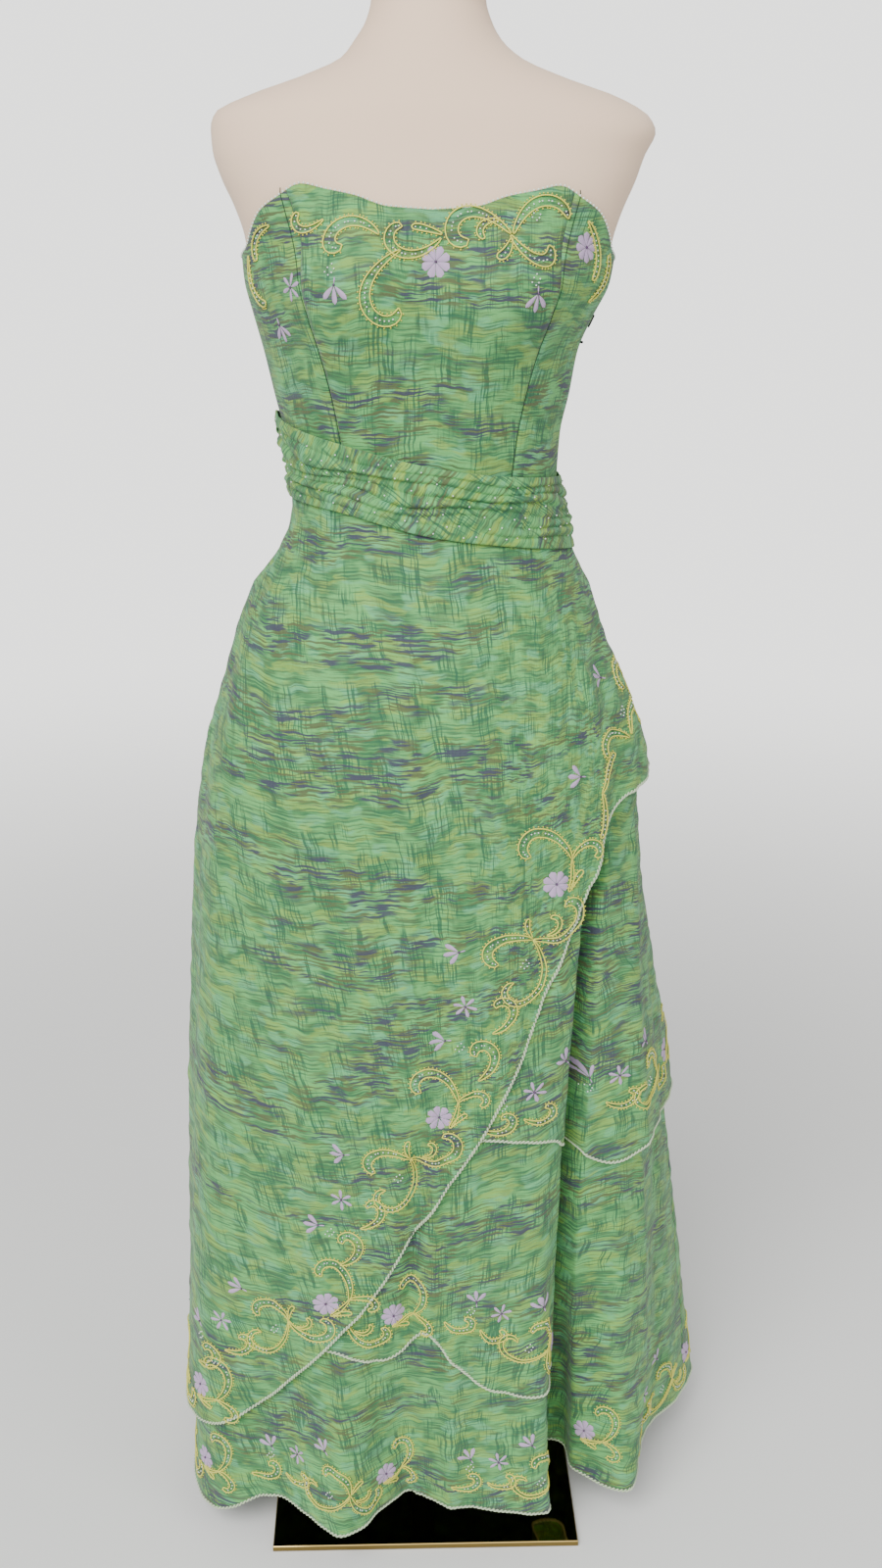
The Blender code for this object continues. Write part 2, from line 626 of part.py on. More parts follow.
def main():
    for old in list(bpy.data.objects):
        bpy.data.objects.remove(old, do_unlink=True)
    gold = make_material("polished_gold", COLOURS["gold"], 0.08, 1.0)
    steel = make_material("pole_steel", COLOURS["steel"], 0.30, 1.0)
    jersey = make_material("form_jersey", COLOURS["jersey"], 0.85)
    cloth = make_material("crinkled_cloth", COLOURS["cloth"], 0.80)
    band = make_material("sash_cloth", COLOURS["sash"], 0.80)
    stand(gold, steel)
    dress_form(jersey)
    gown(cloth, band)


main()
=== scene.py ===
"""Looks of the strapless tiered gown on its dress form.

An add-on laid out to run as a script. Every layer of cloth is a thin wall on the same
gown surface that its solid follows, finer and with its creases. The embroidery, the
beads and the hem cords are made on that surface from short tables. A place on the
cloth is a turn, in degrees round from the front towards the wearer's left, and a
height in metres.
"""

import math

import bpy
import numpy as np
from mathutils import Matrix


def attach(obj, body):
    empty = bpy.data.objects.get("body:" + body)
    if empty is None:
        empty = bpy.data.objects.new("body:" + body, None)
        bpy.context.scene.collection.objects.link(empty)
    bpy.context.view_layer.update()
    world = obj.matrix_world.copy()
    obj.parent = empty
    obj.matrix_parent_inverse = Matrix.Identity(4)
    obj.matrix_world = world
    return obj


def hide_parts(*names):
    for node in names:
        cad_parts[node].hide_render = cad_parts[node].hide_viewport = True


bl_info = {
    "name": "Strapless gown looks",
    "version": (1, 0, 0),
    "blender": (4, 5, 0),
    "location": "3D View > Sidebar > Gown",
    "description": "Cloth, embroidery, dress form, stand and studio of the gown",
    "category": "Object",
}

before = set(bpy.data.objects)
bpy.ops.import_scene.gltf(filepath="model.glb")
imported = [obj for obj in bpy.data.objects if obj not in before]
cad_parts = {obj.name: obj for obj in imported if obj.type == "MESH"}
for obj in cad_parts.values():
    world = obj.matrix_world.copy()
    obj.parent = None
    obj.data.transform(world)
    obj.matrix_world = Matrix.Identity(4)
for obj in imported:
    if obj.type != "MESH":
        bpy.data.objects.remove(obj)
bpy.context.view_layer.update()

# Sizes of the gown surface, in metres and degrees

CLOTH = 0.0012
BODICE_CLOTH = 0.0013
SEAM = 0.0003
FORM_EASE = 0.0008
BODICE_EASE = 0.0012
BODICE_RUN = 0.050
WAIST_HEIGHT = 1.035
WAIST_TILT = 0.024
SIDE = 90.0
FAR_SIDE = 270.0
HEM_REST = 0.045
FORM_BOTTOM = 0.700

# Columns: height, left_side, right_side, front, back, square, set_back
TORSO_RINGS = (
    (1.452, 0.0420, 0.0420, 0.045, 0.045, 2.0, 0.012),
    (1.436, 0.0455, 0.0455, 0.049, 0.049, 2.0, 0.012),
    (1.420, 0.0465, 0.0465, 0.050, 0.050, 2.0, 0.012),
    (1.404, 0.0515, 0.0510, 0.054, 0.054, 2.0, 0.010),
    (1.390, 0.0600, 0.0600, 0.059, 0.059, 2.0, 0.008),
    (1.376, 0.0775, 0.0715, 0.065, 0.064, 2.0, 0.006),
    (1.362, 0.1130, 0.1030, 0.071, 0.071, 2.0, 0.004),
    (1.347, 0.1580, 0.1460, 0.078, 0.078, 2.1, 0.002),
    (1.333, 0.1815, 0.1740, 0.083, 0.083, 2.2, 0.000),
    (1.322, 0.1865, 0.1775, 0.086, 0.086, 2.3, 0.000),
    (1.305, 0.1785, 0.1765, 0.090, 0.090, 2.4, 0.000),
    (1.285, 0.1715, 0.1705, 0.095, 0.093, 2.4, 0.000),
    (1.260, 0.1615, 0.1600, 0.101, 0.096, 2.4, 0.000),
    (1.235, 0.1545, 0.1530, 0.106, 0.098, 2.3, 0.000),
    (1.205, 0.1495, 0.1505, 0.109, 0.099, 2.3, 0.000),
    (1.180, 0.1375, 0.1445, 0.107, 0.098, 2.2, 0.000),
    (1.150, 0.1250, 0.1365, 0.103, 0.096, 2.1, 0.000),
    (1.115, 0.1190, 0.1285, 0.098, 0.093, 2.1, 0.000),
    (1.080, 0.1120, 0.1205, 0.094, 0.090, 2.1, 0.000),
    (1.045, 0.1105, 0.1145, 0.092, 0.088, 2.1, 0.000),
)
SKIRT_RINGS = (
    (1.015, 0.1150, 0.1150, 0.094, 0.090, 2.1, 0.000),
    (0.980, 0.1250, 0.1250, 0.100, 0.097, 2.1, 0.000),
    (0.942, 0.1420, 0.1510, 0.110, 0.107, 2.1, 0.000),
    (0.900, 0.1555, 0.1660, 0.121, 0.118, 2.2, 0.000),
    (0.850, 0.1755, 0.1790, 0.131, 0.128, 2.3, 0.000),
    (0.800, 0.1895, 0.1935, 0.138, 0.135, 2.3, 0.000),
    (0.750, 0.1930, 0.2010, 0.142, 0.141, 2.3, 0.000),
    (0.680, 0.1970, 0.2085, 0.146, 0.149, 2.3, 0.000),
    (0.600, 0.2085, 0.2135, 0.149, 0.157, 2.3, 0.000),
    (0.450, 0.2270, 0.2225, 0.153, 0.170, 2.3, 0.000),
    (0.250, 0.2420, 0.2285, 0.157, 0.185, 2.3, 0.000),
    (0.020, 0.2520, 0.2340, 0.161, 0.200, 2.3, 0.000),
)
HIP_RINGS = (
    (1.015, 0.1140, 0.1140, 0.0930, 0.0890, 2.1, 0.000),
    (0.980, 0.1210, 0.1210, 0.0970, 0.0940, 2.1, 0.000),
    (0.930, 0.1400, 0.1400, 0.1060, 0.1040, 2.1, 0.000),
    (0.880, 0.1570, 0.1570, 0.1130, 0.1130, 2.2, 0.000),
    (0.830, 0.1650, 0.1650, 0.1160, 0.1180, 2.2, 0.000),
    (0.770, 0.1620, 0.1620, 0.1120, 0.1140, 2.2, 0.000),
    (0.715, 0.1540, 0.1540, 0.1050, 0.1080, 2.2, 0.000),
    (FORM_BOTTOM, 0.1440, 0.1440, 0.0960, 0.0990, 2.2, 0.000),
)
BUST_HEIGHT = 1.195
BUST_TURN = 29.0
BUST_OUT = 0.020
BUST_SPREAD = 21.0
BUST_UP = 0.050
BUST_DOWN = 0.060
BUST_MERGE = 1.05

# Columns: turn, turn_at_hem, out, start_height
FOLDS = (
    (-180.0, -180.0, 0.030, 0.60),
    (-163.0, -163.0, -0.018, 0.50),
    (-146.0, -146.0, 0.028, 0.55),
    (-128.0, -128.0, -0.015, 0.45),
    (-110.0, -110.0, 0.022, 0.50),
    (-90.0, -90.0, -0.004, 0.60),
    (-62.0, -60.0, 0.030, 0.60),
    (-44.0, -46.0, 0.002, 0.35),
    (-26.0, -25.0, 0.028, 0.45),
    (-8.0, -8.0, -0.030, 0.40),
    (12.0, 13.0, -0.006, 0.50),
    (33.0, 36.0, 0.014, 0.62),
    (43.0, 46.0, -0.050, 0.72),
    (50.0, 53.0, -0.052, 0.72),
    (60.0, 58.0, 0.016, 0.70),
    (73.0, 74.0, -0.010, 0.55),
    (98.0, 103.0, 0.052, 0.62),
    (118.0, 120.0, -0.016, 0.50),
    (134.0, 134.0, 0.026, 0.55),
    (150.0, 150.0, -0.016, 0.50),
    (165.0, 165.0, 0.024, 0.55),
)
FOLD_GROWTH = 1.6
FOLD_MOST = 1.2

# Columns: turn, height
NECKLINE = (
    (0.0, 1.258), (18.0, 1.260), (31.0, 1.268), (42.0, 1.273), (50.0, 1.277), (57.0, 1.268),
    (63.0, 1.259), (69.0, 1.245), (76.0, 1.229), (90.0, 1.222), (180.0, 1.218),
)
OVERLAY_HEM = (
    (-90.0, 0.120), (-63.0, 0.134), (-51.0, 0.170), (-36.0, 0.227), (-24.0, 0.283),
    (-10.0, 0.349), (7.0, 0.426), (18.0, 0.476), (28.0, 0.541), (37.0, 0.613),
    (45.0, 0.666), (52.0, 0.712), (57.0, 0.757), (66.0, 0.775), (90.0, 0.782),
)
MIDDLE_HEM = (
    (-30.0, 0.474), (17.0, 0.470), (36.0, 0.461), (44.0, 0.449), (50.0, 0.435), (57.0, 0.422),
    (66.0, 0.430), (90.0, 0.434),
)
FRONT_FLOUNCE_HEM = (
    (-48.0, 0.246), (-29.0, 0.245), (-16.0, 0.233), (-10.0, 0.240), (-0.5, 0.262),
    (9.0, 0.230), (21.0, 0.198), (34.0, 0.190), (50.0, 0.192),
)
UNDERSKIRT_HEM = (
    (-180.0, 0.046), (-146.0, 0.050), (-110.0, 0.045), (-90.0, 0.050), (-62.0, 0.034),
    (-46.0, 0.056), (-25.0, 0.050), (-8.0, 0.056), (12.0, 0.056), (34.0, 0.052),
    (50.0, 0.058), (58.0, 0.050), (74.0, 0.058), (100.0, 0.050), (134.0, 0.046), (180.0, 0.046),
)
# Columns: turn, top, bottom
SASH_EDGES = (
    (-90.0, 1.099, 1.028), (-50.0, 1.082, 1.023), (0.0, 1.062, 1.004),
    (40.0, 1.052, 0.993), (90.0, 1.043, 0.978),
)
# Columns: height, turn
PRINCESS = (
    (1.030, 41.0), (1.090, 43.0), (1.140, 43.8), (1.180, 44.5), (1.210, 46.5),
    (1.240, 51.5), (1.270, 56.0),
)
UNDERSKIRT_LIFT = FORM_EASE
SEWN_LIFT = UNDERSKIRT_LIFT + CLOTH + SEAM
# Columns: height, lift
OVERLAY_LIFT = (
    (0.100, 0.0125), (0.300, 0.0095), (0.600, 0.0088), (0.780, 0.0078), (0.860, 0.0060),
    (0.940, 0.0040), (1.000, SEWN_LIFT),
)
MIDDLE_TOP = 0.800
MIDDLE_SECOND = 0.760
FLOUNCE_TOP = 0.530
FLOUNCE_SECOND = 0.490
MIDDLE_LIFT = (
    (0.400, 0.0068), (0.600, 0.0056), (0.700, 0.0040), (MIDDLE_SECOND, SEWN_LIFT), (MIDDLE_TOP, SEWN_LIFT),
)
FLOUNCE_LIFT = ((0.190, 0.0040), (0.440, 0.0034), (FLOUNCE_SECOND, SEWN_LIFT), (FLOUNCE_TOP, SEWN_LIFT))
FORM_LIFT = (
    (0.700, -0.0010), (0.990, -0.0005), (1.040, -0.0002), (1.080, -0.0008), (1.150, -0.0012),
    (1.240, -0.0012), (1.290, 0.0), (1.452, 0.0),
)
CORNER_FLARE = 0.0060
CORNER_TURN = 52.0
CORNER_TOP = 0.860
CONE_FLARE = 0.0040
FLARE_RUN = 20.0
FLARE_DROP = 0.090
CONE_RUN = 0.400
MIDDLE_START = -22.0
FLOUNCE_START = -47.0
FLOUNCE_END = 46.0
SASH_EASE = 0.0013
SASH_LIFT = SEWN_LIFT + CLOTH + SASH_EASE
SASH_BODY = 0.0016
SASH_FOLD = 0.0052
SASH_FOLDS = 7
SASH_DRIFT = 0.55
SASH_EDGE = 0.04
SASH_WAVE = 0.20          # how unevenly the folds run into each other
SASH_LEAN = 1.35          # above 1, a fold's crest hangs low
SASH_GATHER = 0.0009
SASH_GATHERED = 38.0      # how far the gathers run in from the side seams, in degrees
SASH_BIAS = -60.0

# Creases of the skirt, soft ridges (out above zero) and troughs, uneven as the photo shows
# Columns: turn, lean (turn gained on the way down), top, bottom, half_width, out
CREASES = (
    (59.0, -8.0, 0.93, 0.66, 2.4, 0.0034),
    (67.0, -8.0, 0.92, 0.70, 3.2, -0.0034),
    (-44.0, 9.0, 0.92, 0.26, 4.2, 0.0026),
    (-36.0, 8.0, 0.86, 0.20, 3.6, -0.0022),
    (-8.0, 3.0, 0.95, 0.30, 4.2, 0.0022),
    (1.0, 5.0, 0.88, 0.33, 3.6, -0.0024),
    (20.0, 7.0, 0.97, 0.48, 4.4, 0.0024),
    (31.0, 6.0, 0.97, 0.50, 3.2, -0.0026),
    (-67.0, 4.0, 0.97, 0.16, 4.4, 0.0022),
    (-78.0, 2.0, 0.90, 0.10, 3.8, -0.0026),
    (79.0, -4.0, 0.95, 0.76, 3.0, 0.0022),
    (78.0, 2.0, 0.62, -0.10, 3.4, -0.0040),
    (-3.0, -4.0, 0.50, 0.24, 3.4, -0.0110),
    (3.0, -2.0, 0.48, 0.22, 2.6, 0.0030),
    (40.0, 2.0, 0.74, -0.10, 3.4, 0.0040),
    (90.0, 6.0, 0.58, -0.10, 3.4, 0.0030),
    (-27.0, 1.0, 0.26, -0.10, 2.2, 0.0036),
    (-50.0, -2.0, 0.24, -0.10, 2.6, -0.0030),
    (-18.0, 2.0, 0.30, -0.10, 2.4, -0.0030),
    (8.0, 1.0, 0.28, -0.10, 2.6, 0.0034),
    (24.0, 2.0, 0.34, -0.10, 2.8, -0.0028),
    (108.0, 3.0, 0.95, 0.30, 4.0, -0.0024),
    (121.0, -2.0, 0.90, 0.20, 3.6, 0.0024),
    (139.0, 3.0, 0.96, 0.34, 4.6, -0.0026),
    (157.0, -3.0, 0.88, 0.16, 3.8, 0.0022),
    (176.0, 4.0, 0.95, 0.28, 4.2, -0.0024),
    (-168.0, -3.0, 0.91, 0.22, 3.8, 0.0026),
    (-149.0, 2.0, 0.94, 0.18, 4.4, -0.0022),
    (-131.0, -4.0, 0.89, 0.24, 3.6, 0.0024),
    (-113.0, 2.0, 0.95, 0.14, 4.2, -0.0026),
    (-99.0, 1.0, 0.90, 0.12, 3.4, 0.0022),
)
# The same of the bodice, above the sash
BODICE_CREASES = (
    (-76.0, 16.0, 1.150, 1.060, 4.0, 0.0010),
    (-64.0, 14.0, 1.130, 1.055, 3.4, -0.0008),
    (-50.0, 8.0, 1.110, 1.040, 3.2, 0.0007),
    (66.0, -8.0, 1.120, 1.030, 3.6, 0.0008),
    (78.0, -10.0, 1.150, 1.035, 4.0, -0.0008),
    (112.0, 8.0, 1.140, 1.030, 4.2, 0.0009),
    (-120.0, -8.0, 1.140, 1.040, 4.2, 0.0009),
)
CREASE_FADE = 0.060
# The deep fold beside the wearer's left thigh, and the edge down the cone of cloth next to it
# Columns: height, turn
DEEP_FOLD = (
    (0.05, 50.0), (0.18, 49.0), (0.30, 47.6), (0.41, 47.4), (0.47, 47.6), (0.535, 48.6),
    (0.585, 49.6), (0.63, 51.0), (0.667, 52.4), (0.71, 54.4), (0.79, 57.5),
)
CONE_EDGE = (
    (0.05, 60.0), (0.115, 64.0), (0.16, 67.5), (0.28, 66.8), (0.39, 65.8), (0.50, 64.0),
    (0.594, 65.5), (0.684, 69.8), (0.73, 70.8), (0.78, 72.0),
)
# Columns: line, half_width, out, power, top
RUNNING_CREASES = (
    (DEEP_FOLD, 2.6, -0.030, 4.0, 0.79),
    (CONE_EDGE, 2.8, 0.0060, 1.3, 0.77),
)
BACK_SHARE = 0.5
FOLD_MIDDLE = 50.0
FOLD_REACH = 9.0
# Waves of the soft puckering: turns per metre across and up, phase, size
PUCKERS = (
    (31.0, 9.0, 0.4, 0.00030), (-24.0, 17.0, 1.9, 0.00028), (52.0, -11.0, 3.1, 0.00022),
    (13.0, -29.0, 4.4, 0.00030), (-67.0, 23.0, 0.9, 0.00018), (8.0, 47.0, 2.6, 0.00026),
    (71.0, 6.0, 5.2, 0.00016), (-39.0, -41.0, 1.2, 0.00020),
)
# How far the weft has risen above level, half way down the skirt
# Columns: turn, rise
WEFT_RISE = (
    (-90.0, 0.016), (-60.0, 0.002), (-35.0, 0.000), (-5.0, 0.004), (20.0, 0.016),
    (46.0, 0.042), (60.0, 0.056), (90.0, 0.034),
)

# Embroidery. A scroll runs from its foot to its tip and curls by so many degrees, to the
# left of its run above zero. Across is towards the wearer's left and up is up, on the flat
# Columns: turn, height, tip_turn, tip_height, curl, half_width
BODICE_SCROLLS = (
    (-20.0, 1.239, -31.5, 1.231, 280.0, 0.0050),
    (-40.0, 1.250, -49.0, 1.255, -210.0, 0.0028),
    (4.0, 1.237, -12.0, 1.245, -250.0, 0.0036),
    (-12.2, 1.228, -12.6, 1.187, 250.0, 0.0040),
    (4.5, 1.240, -8.2, 1.245, 24.0, 0.0022),
    (29.2, 1.240, 14.5, 1.236, 280.0, 0.0052),
    (26.2, 1.250, 20.2, 1.237, 170.0, 0.0022),
    (30.0, 1.240, 51.0, 1.253, -150.0, 0.0042),
    (29.0, 1.239, 42.0, 1.232, 190.0, 0.0046),
    (29.2, 1.237, 23.2, 1.223, -60.0, 0.0028),
    (58.5, 1.252, 62.0, 1.208, -110.0, 0.0034),
    (64.0, 1.192, 71.0, 1.226, 120.0, 0.0034),
    (-60.0, 1.247, -66.5, 1.221, 150.0, 0.0034),
    (-72.5, 1.224, -65.0, 1.190, 130.0, 0.0034),
)
# Columns: kind, turn, height, pointing (degrees, counterclockwise from across)
BODICE_FLOWERS = (
    ("daisy", 1.8, 1.220, 22.0), ("daisy", 58.5, 1.232, 0.0), ("star", -49.8, 1.201, 80.0),
    ("sprig", -32.0, 1.203, -90.0), ("sprig", 35.5, 1.198, -90.0), ("sprig", -61.0, 1.172, -80.0),
    ("cluster", -33.8, 1.213, 0.0), ("cluster", 34.8, 1.207, 0.0), ("cluster", 39.8, 1.254, 0.0),
)
# One repeat of the border, measured along the hem from its daisy, down the slant, and in from it
# Columns: along, inward, tip_along, tip_inward, curl, half_width
BORDER_SCROLLS = (
    (-0.0247, -0.0054, -0.0151, 0.0312, 250.0, 0.0044),
    (-0.0247, -0.0054, -0.0330, -0.0250, -250.0, 0.0030),
    (-0.0247, -0.0054, 0.0028, -0.0140, -36.0, 0.0016),
    (0.0006, -0.0150, -0.0180, -0.0200, -30.0, 0.0020),
    (0.0531, -0.0024, 0.0164, -0.0150, 250.0, 0.0042),
    (0.0460, -0.0120, 0.0297, -0.0075, 200.0, 0.0018),
    (0.0516, -0.0009, 0.0366, 0.0095, -70.0, 0.0020),
    (0.0531, -0.0024, 0.0825, 0.0175, 220.0, 0.0042),
    (0.0531, -0.0024, 0.0940, -0.0020, -300.0, 0.0024),
    (0.1440, -0.0068, 0.1206, 0.0010, 260.0, 0.0036),
    (0.1900, -0.0160, 0.1686, -0.0040, 290.0, 0.0044),
)
# Columns: kind, along, inward, pointing (counterclockwise from along)
BORDER_FLOWERS = (
    ("daisy", 0.0, 0.0, 0.0), ("sprig", 0.0855, 0.0519, 50.0), ("star", 0.1298, 0.0250, 20.0),
    ("sprig", 0.1664, 0.0260, 60.0), ("cluster", 0.0760, -0.0050, 0.0), ("cluster", 0.1668, 0.0120, 0.0),
)
# Where the border's repeats stand on each layer, the way that along runs there, and the
# turns between which they show, because the deep fold swallows a part of some
# Columns: turn, height, along (degrees, counterclockwise from across), scale, first, last
OVERLAY_BORDER = (
    (39.8, 0.710, -115.4, 1.00, -90.0, 90.0), (3.5, 0.495, -124.0, 0.92, -90.0, 90.0),
    (-31.2, 0.299, -146.0, 0.86, -90.0, 90.0), (-65.0, 0.170, -176.0, 0.86, -90.0, 90.0),
)
MIDDLE_BORDER = (
    (62.0, 0.500, 183.0, 0.78, -21.0, 44.5), (84.0, 0.487, 178.0, 0.78, 50.0, 120.0),
    (130.0, 0.487, 180.0, 0.78, 90.0, 200.0), (172.0, 0.500, 180.0, 0.78, 90.0, 200.0),
)
FLOUNCE_BORDER = ((-12.2, 0.283, 184.0, 0.80, -46.0, 8.0), (43.5, 0.222, 153.0, 0.76, -8.0, 44.5))
UNDERSKIRT_BORDER = (
    (-65.0, 0.081, 182.0, 0.80, -120.0, 0.0), (-15.2, 0.094, 180.0, 0.80, -120.0, 0.0),
    (43.0, 0.094, 180.0, 0.76, -8.0, 41.0), (54.5, 0.108, 176.0, 0.80, 51.5, 120.0),
    (91.0, 0.092, 182.0, 0.80, 56.0, 270.0), (127.0, 0.092, 180.0, 0.80, 56.0, 270.0),
    (163.0, 0.092, 180.0, 0.80, 56.0, 270.0), (199.0, 0.092, 180.0, 0.80, 56.0, 270.0),
    (231.0, 0.092, 180.0, 0.80, 56.0, 270.0), (263.0, 0.092, 180.0, 0.80, 56.0, 270.0),
)
# Single scrolls at the wearer's left hip. Columns as in BODICE_SCROLLS
HIP_SCROLLS = (
    (88.0, 0.838, 76.0, 0.858, 260.0, 0.0034),
    (70.0, 0.822, 80.0, 0.824, -250.0, 0.0046),
    (69.0, 0.820, 58.5, 0.812, 190.0, 0.0038),
    (54.5, 0.784, 62.0, 0.812, -60.0, 0.0030),
    (54.5, 0.784, 53.5, 0.744, -60.0, 0.0026),
)
HIP_FLOWERS = (("sprig", 65.8, 0.875, 160.0), ("sprig", 48.8, 0.801, 170.0), ("cluster", 70.0, 0.842, 0.0))

# Petals of each flower. Columns: first angle, last angle, count, length, half_width, bluntness
PETALS = {
    "daisy": ((0.0, 315.0, 8, 0.0120, 0.0042, 6.0),),
    "star": ((0.0, 300.0, 6, 0.0105, 0.0026, 2.0),),
    "sprig": ((-44.0, 44.0, 3, 0.0135, 0.0034, 2.2), (180.0, 180.0, 1, 0.0055, 0.0012, 1.6)),
}
CLUSTER_RING = 0.0034     # radius of a ring of small beads
THREAD = 0.00072          # radius of the outline's thread
PICOT = 0.00085           # radius of the small knots beside the outline
BEAD = 0.00080
SCROLL_BEND = 0.34        # share of a scroll's curl that is spread evenly along it
# radius of the dark tubes along the bodice seams, which are painted shade of the seam lines
SEAM_SHADE_RADIUS = 0.00045

PLATE_THICK = 0.0065

# Camera, read from the photo: place, looking down, turned and rolled
CAMERA_PLACE = (-0.03253, -1.39062, 1.228)
CAMERA_DOWN = 18.746
CAMERA_TURN = 1.931
CAMERA_ROLL = 0.43
CAMERA_LENS = 36.0

# Colours, linear
COLOURS = {
    "teal": (0.016, 0.105, 0.048),
    "green": (0.048, 0.200, 0.062),
    "light": (0.130, 0.430, 0.120),
    "aqua": (0.120, 0.440, 0.200),
    "yellow": (0.250, 0.430, 0.060),
    "olive": (0.085, 0.105, 0.038),
    "violet": (0.042, 0.048, 0.080),
    "thread": (0.680, 0.660, 0.100),
    "lilac": (0.500, 0.370, 0.560),
    "lilac_dark": (0.100, 0.050, 0.120),
    "cord": (0.520, 0.620, 0.420),
    "bead": (0.720, 0.820, 0.720),
    # seam is painted shade: the dark colour of the tubes that stand for the shadow in the bodice seams
    "seam": (0.010, 0.040, 0.018),
    "jersey": (0.880, 0.650, 0.470),
    "gold": (0.230, 0.165, 0.055),
    "steel": (0.560, 0.550, 0.530),
    "dark": (0.020, 0.020, 0.024),
    "floor": (0.860, 0.860, 0.845),
}


def curve_through(rows, x):
    """Smooth curve through the rows' points that never swings past them."""
    xs = np.array([row[0] for row in rows], dtype=float)
    ys = np.array([row[1] for row in rows], dtype=float)
    x = np.clip(np.asarray(x, dtype=float), xs[0], xs[-1])
    step = np.diff(xs)
    slope = np.diff(ys) / step
    tangent = np.zeros_like(ys)
    same = slope[:-1] * slope[1:] > 0.0
    mean = 2.0 * slope[:-1] * slope[1:] / np.where(same, slope[:-1] + slope[1:], 1.0)
    tangent[1:-1] = np.where(same, mean, 0.0)
    tangent[0] = slope[0]
    tangent[-1] = slope[-1]
    i = np.clip(np.searchsorted(xs, x, side="right") - 1, 0, len(xs) - 2)
    t = (x - xs[i]) / step[i]
    start = (1.0 + 2.0 * t) * (1.0 - t) ** 2 * ys[i] + t * (1.0 - t) ** 2 * step[i] * tangent[i]
    end = t * t * (3.0 - 2.0 * t) * ys[i + 1] - t * t * (1.0 - t) * step[i] * tangent[i + 1]
    return start + end


def ease(t):
    """Soft step from 0 to 1."""
    t = np.clip(t, 0.0, 1.0)
    return t * t * (3.0 - 2.0 * t)


def wrapped(turn):
    """Turn brought into the range from -180 up to 180."""
    return (np.asarray(turn, dtype=float) + 180.0) % 360.0 - 180.0


def to_front(turn):
    """Turn of the place on the front that mirrors a place on the back."""
    turn = wrapped(turn)
    return np.where(turn > SIDE, 180.0 - turn, np.where(turn < -SIDE, -180.0 - turn, turn))


def ring_reach(rings, turn, height):
    """Distance of a ring from its middle, a squared ellipse, and how far back its middle lies."""
    rows = sorted(rings)
    left, right, front, back, square, set_back = (
        curve_through([(row[0], row[k]) for row in rows], height) for k in range(1, len(rows[0]))
    )
    across = np.sin(np.radians(turn))
    along = np.cos(np.radians(turn))
    side_reach = np.where(across >= 0.0, left, right)
    depth_reach = np.where(along >= 0.0, front, back)
    total = np.abs(across / side_reach) ** square + np.abs(along / depth_reach) ** square
    return total ** (-1.0 / square), set_back


def bust(turn, height):
    """Outward round of the bust, one soft hill on each side that melt into each other."""
    drop = height - BUST_HEIGHT
    rise = np.where(drop > 0.0, drop / BUST_UP, drop / BUST_DOWN)
    hills = 0.0
    for side in (-1.0, 1.0):
        hills = hills + np.exp(-(((wrapped(turn) - side * BUST_TURN) / BUST_SPREAD) ** 2))
    return BUST_OUT * np.minimum(hills, BUST_MERGE) * np.exp(-rise * rise)


def fold_shift(turn, height):
    """How far the folds push a place outwards, and how far they turn it."""
    rows = np.array(FOLDS)
    starts = np.append(rows[:, 0], rows[0, 0] + 360.0)
    turn = wrapped(turn)
    i = np.clip(np.searchsorted(starts, turn, side="right") - 1, 0, len(rows) - 1)
    j = (i + 1) % len(rows)
    t = ease((turn - starts[i]) / (starts[i + 1] - starts[i]))

    def growth(k):
        run = (rows[k, 3] - height) / (rows[k, 3] - HEM_REST)
        return np.clip(run, 0.0, FOLD_MOST) ** FOLD_GROWTH

    near = (1.0 - t) * growth(i)
    far = t * growth(j)
    out = near * rows[i, 2] + far * rows[j, 2]
    swing = near * (rows[i, 1] - rows[i, 0]) + far * (rows[j, 1] - rows[j, 0])
    return out, swing


def surface_point(rings, turn, height, folded):
    """Point of the form or the gown surface."""
    out, swing = fold_shift(turn, height) if folded else (0.0, 0.0)
    turn = turn + swing
    reach, set_back = ring_reach(rings, turn, height)
    reach = reach + out + bust(turn, height)
    angle = np.radians(turn)
    return np.stack([reach * np.sin(angle), set_back - reach * np.cos(angle), height + 0.0 * reach], axis=-1)


def lifted(rings, turn, height, lift, folded=True):
    """Surface points moved outwards, square to the surface, by the lift, and the way out there."""
    turn, height, lift = np.broadcast_arrays(
        np.asarray(turn, dtype=float), np.asarray(height, dtype=float), np.asarray(lift, dtype=float)
    )
    small_turn = 0.05
    small_rise = 0.0005
    across = surface_point(rings, turn + small_turn, height, folded)
    across = across - surface_point(rings, turn - small_turn, height, folded)
    rise = surface_point(rings, turn, height + small_rise, folded)
    rise = rise - surface_point(rings, turn, height - small_rise, folded)
    normal = np.cross(across, rise)
    normal = normal / np.linalg.norm(normal, axis=-1, keepdims=True)
    return surface_point(rings, turn, height, folded) + normal * lift[..., None], normal


GOWN_RINGS = SKIRT_RINGS + TORSO_RINGS
FORM_RINGS = HIP_RINGS + TORSO_RINGS


def waist_height(turn):
    """Height of the waist seam, which tilts up at the wearer's right side."""
    return WAIST_HEIGHT - WAIST_TILT * np.sin(np.radians(to_front(turn)))


def crease_relief(rows, turn, height):
    """Sum of the creases: each is a bell across its line, and fades at its two ends."""
    total = np.zeros(np.broadcast(turn, height).shape)
    for start, lean, top, bottom, half_width, out in rows:
        run = np.clip((top - height) / (top - bottom), 0.0, 1.0)
        aside = wrapped(turn - start - lean * run) / half_width
        ends = ease((top - height) / CREASE_FADE) * ease((height - bottom) / CREASE_FADE)
        total = total + out * np.exp(-aside * aside) * ends
    return total


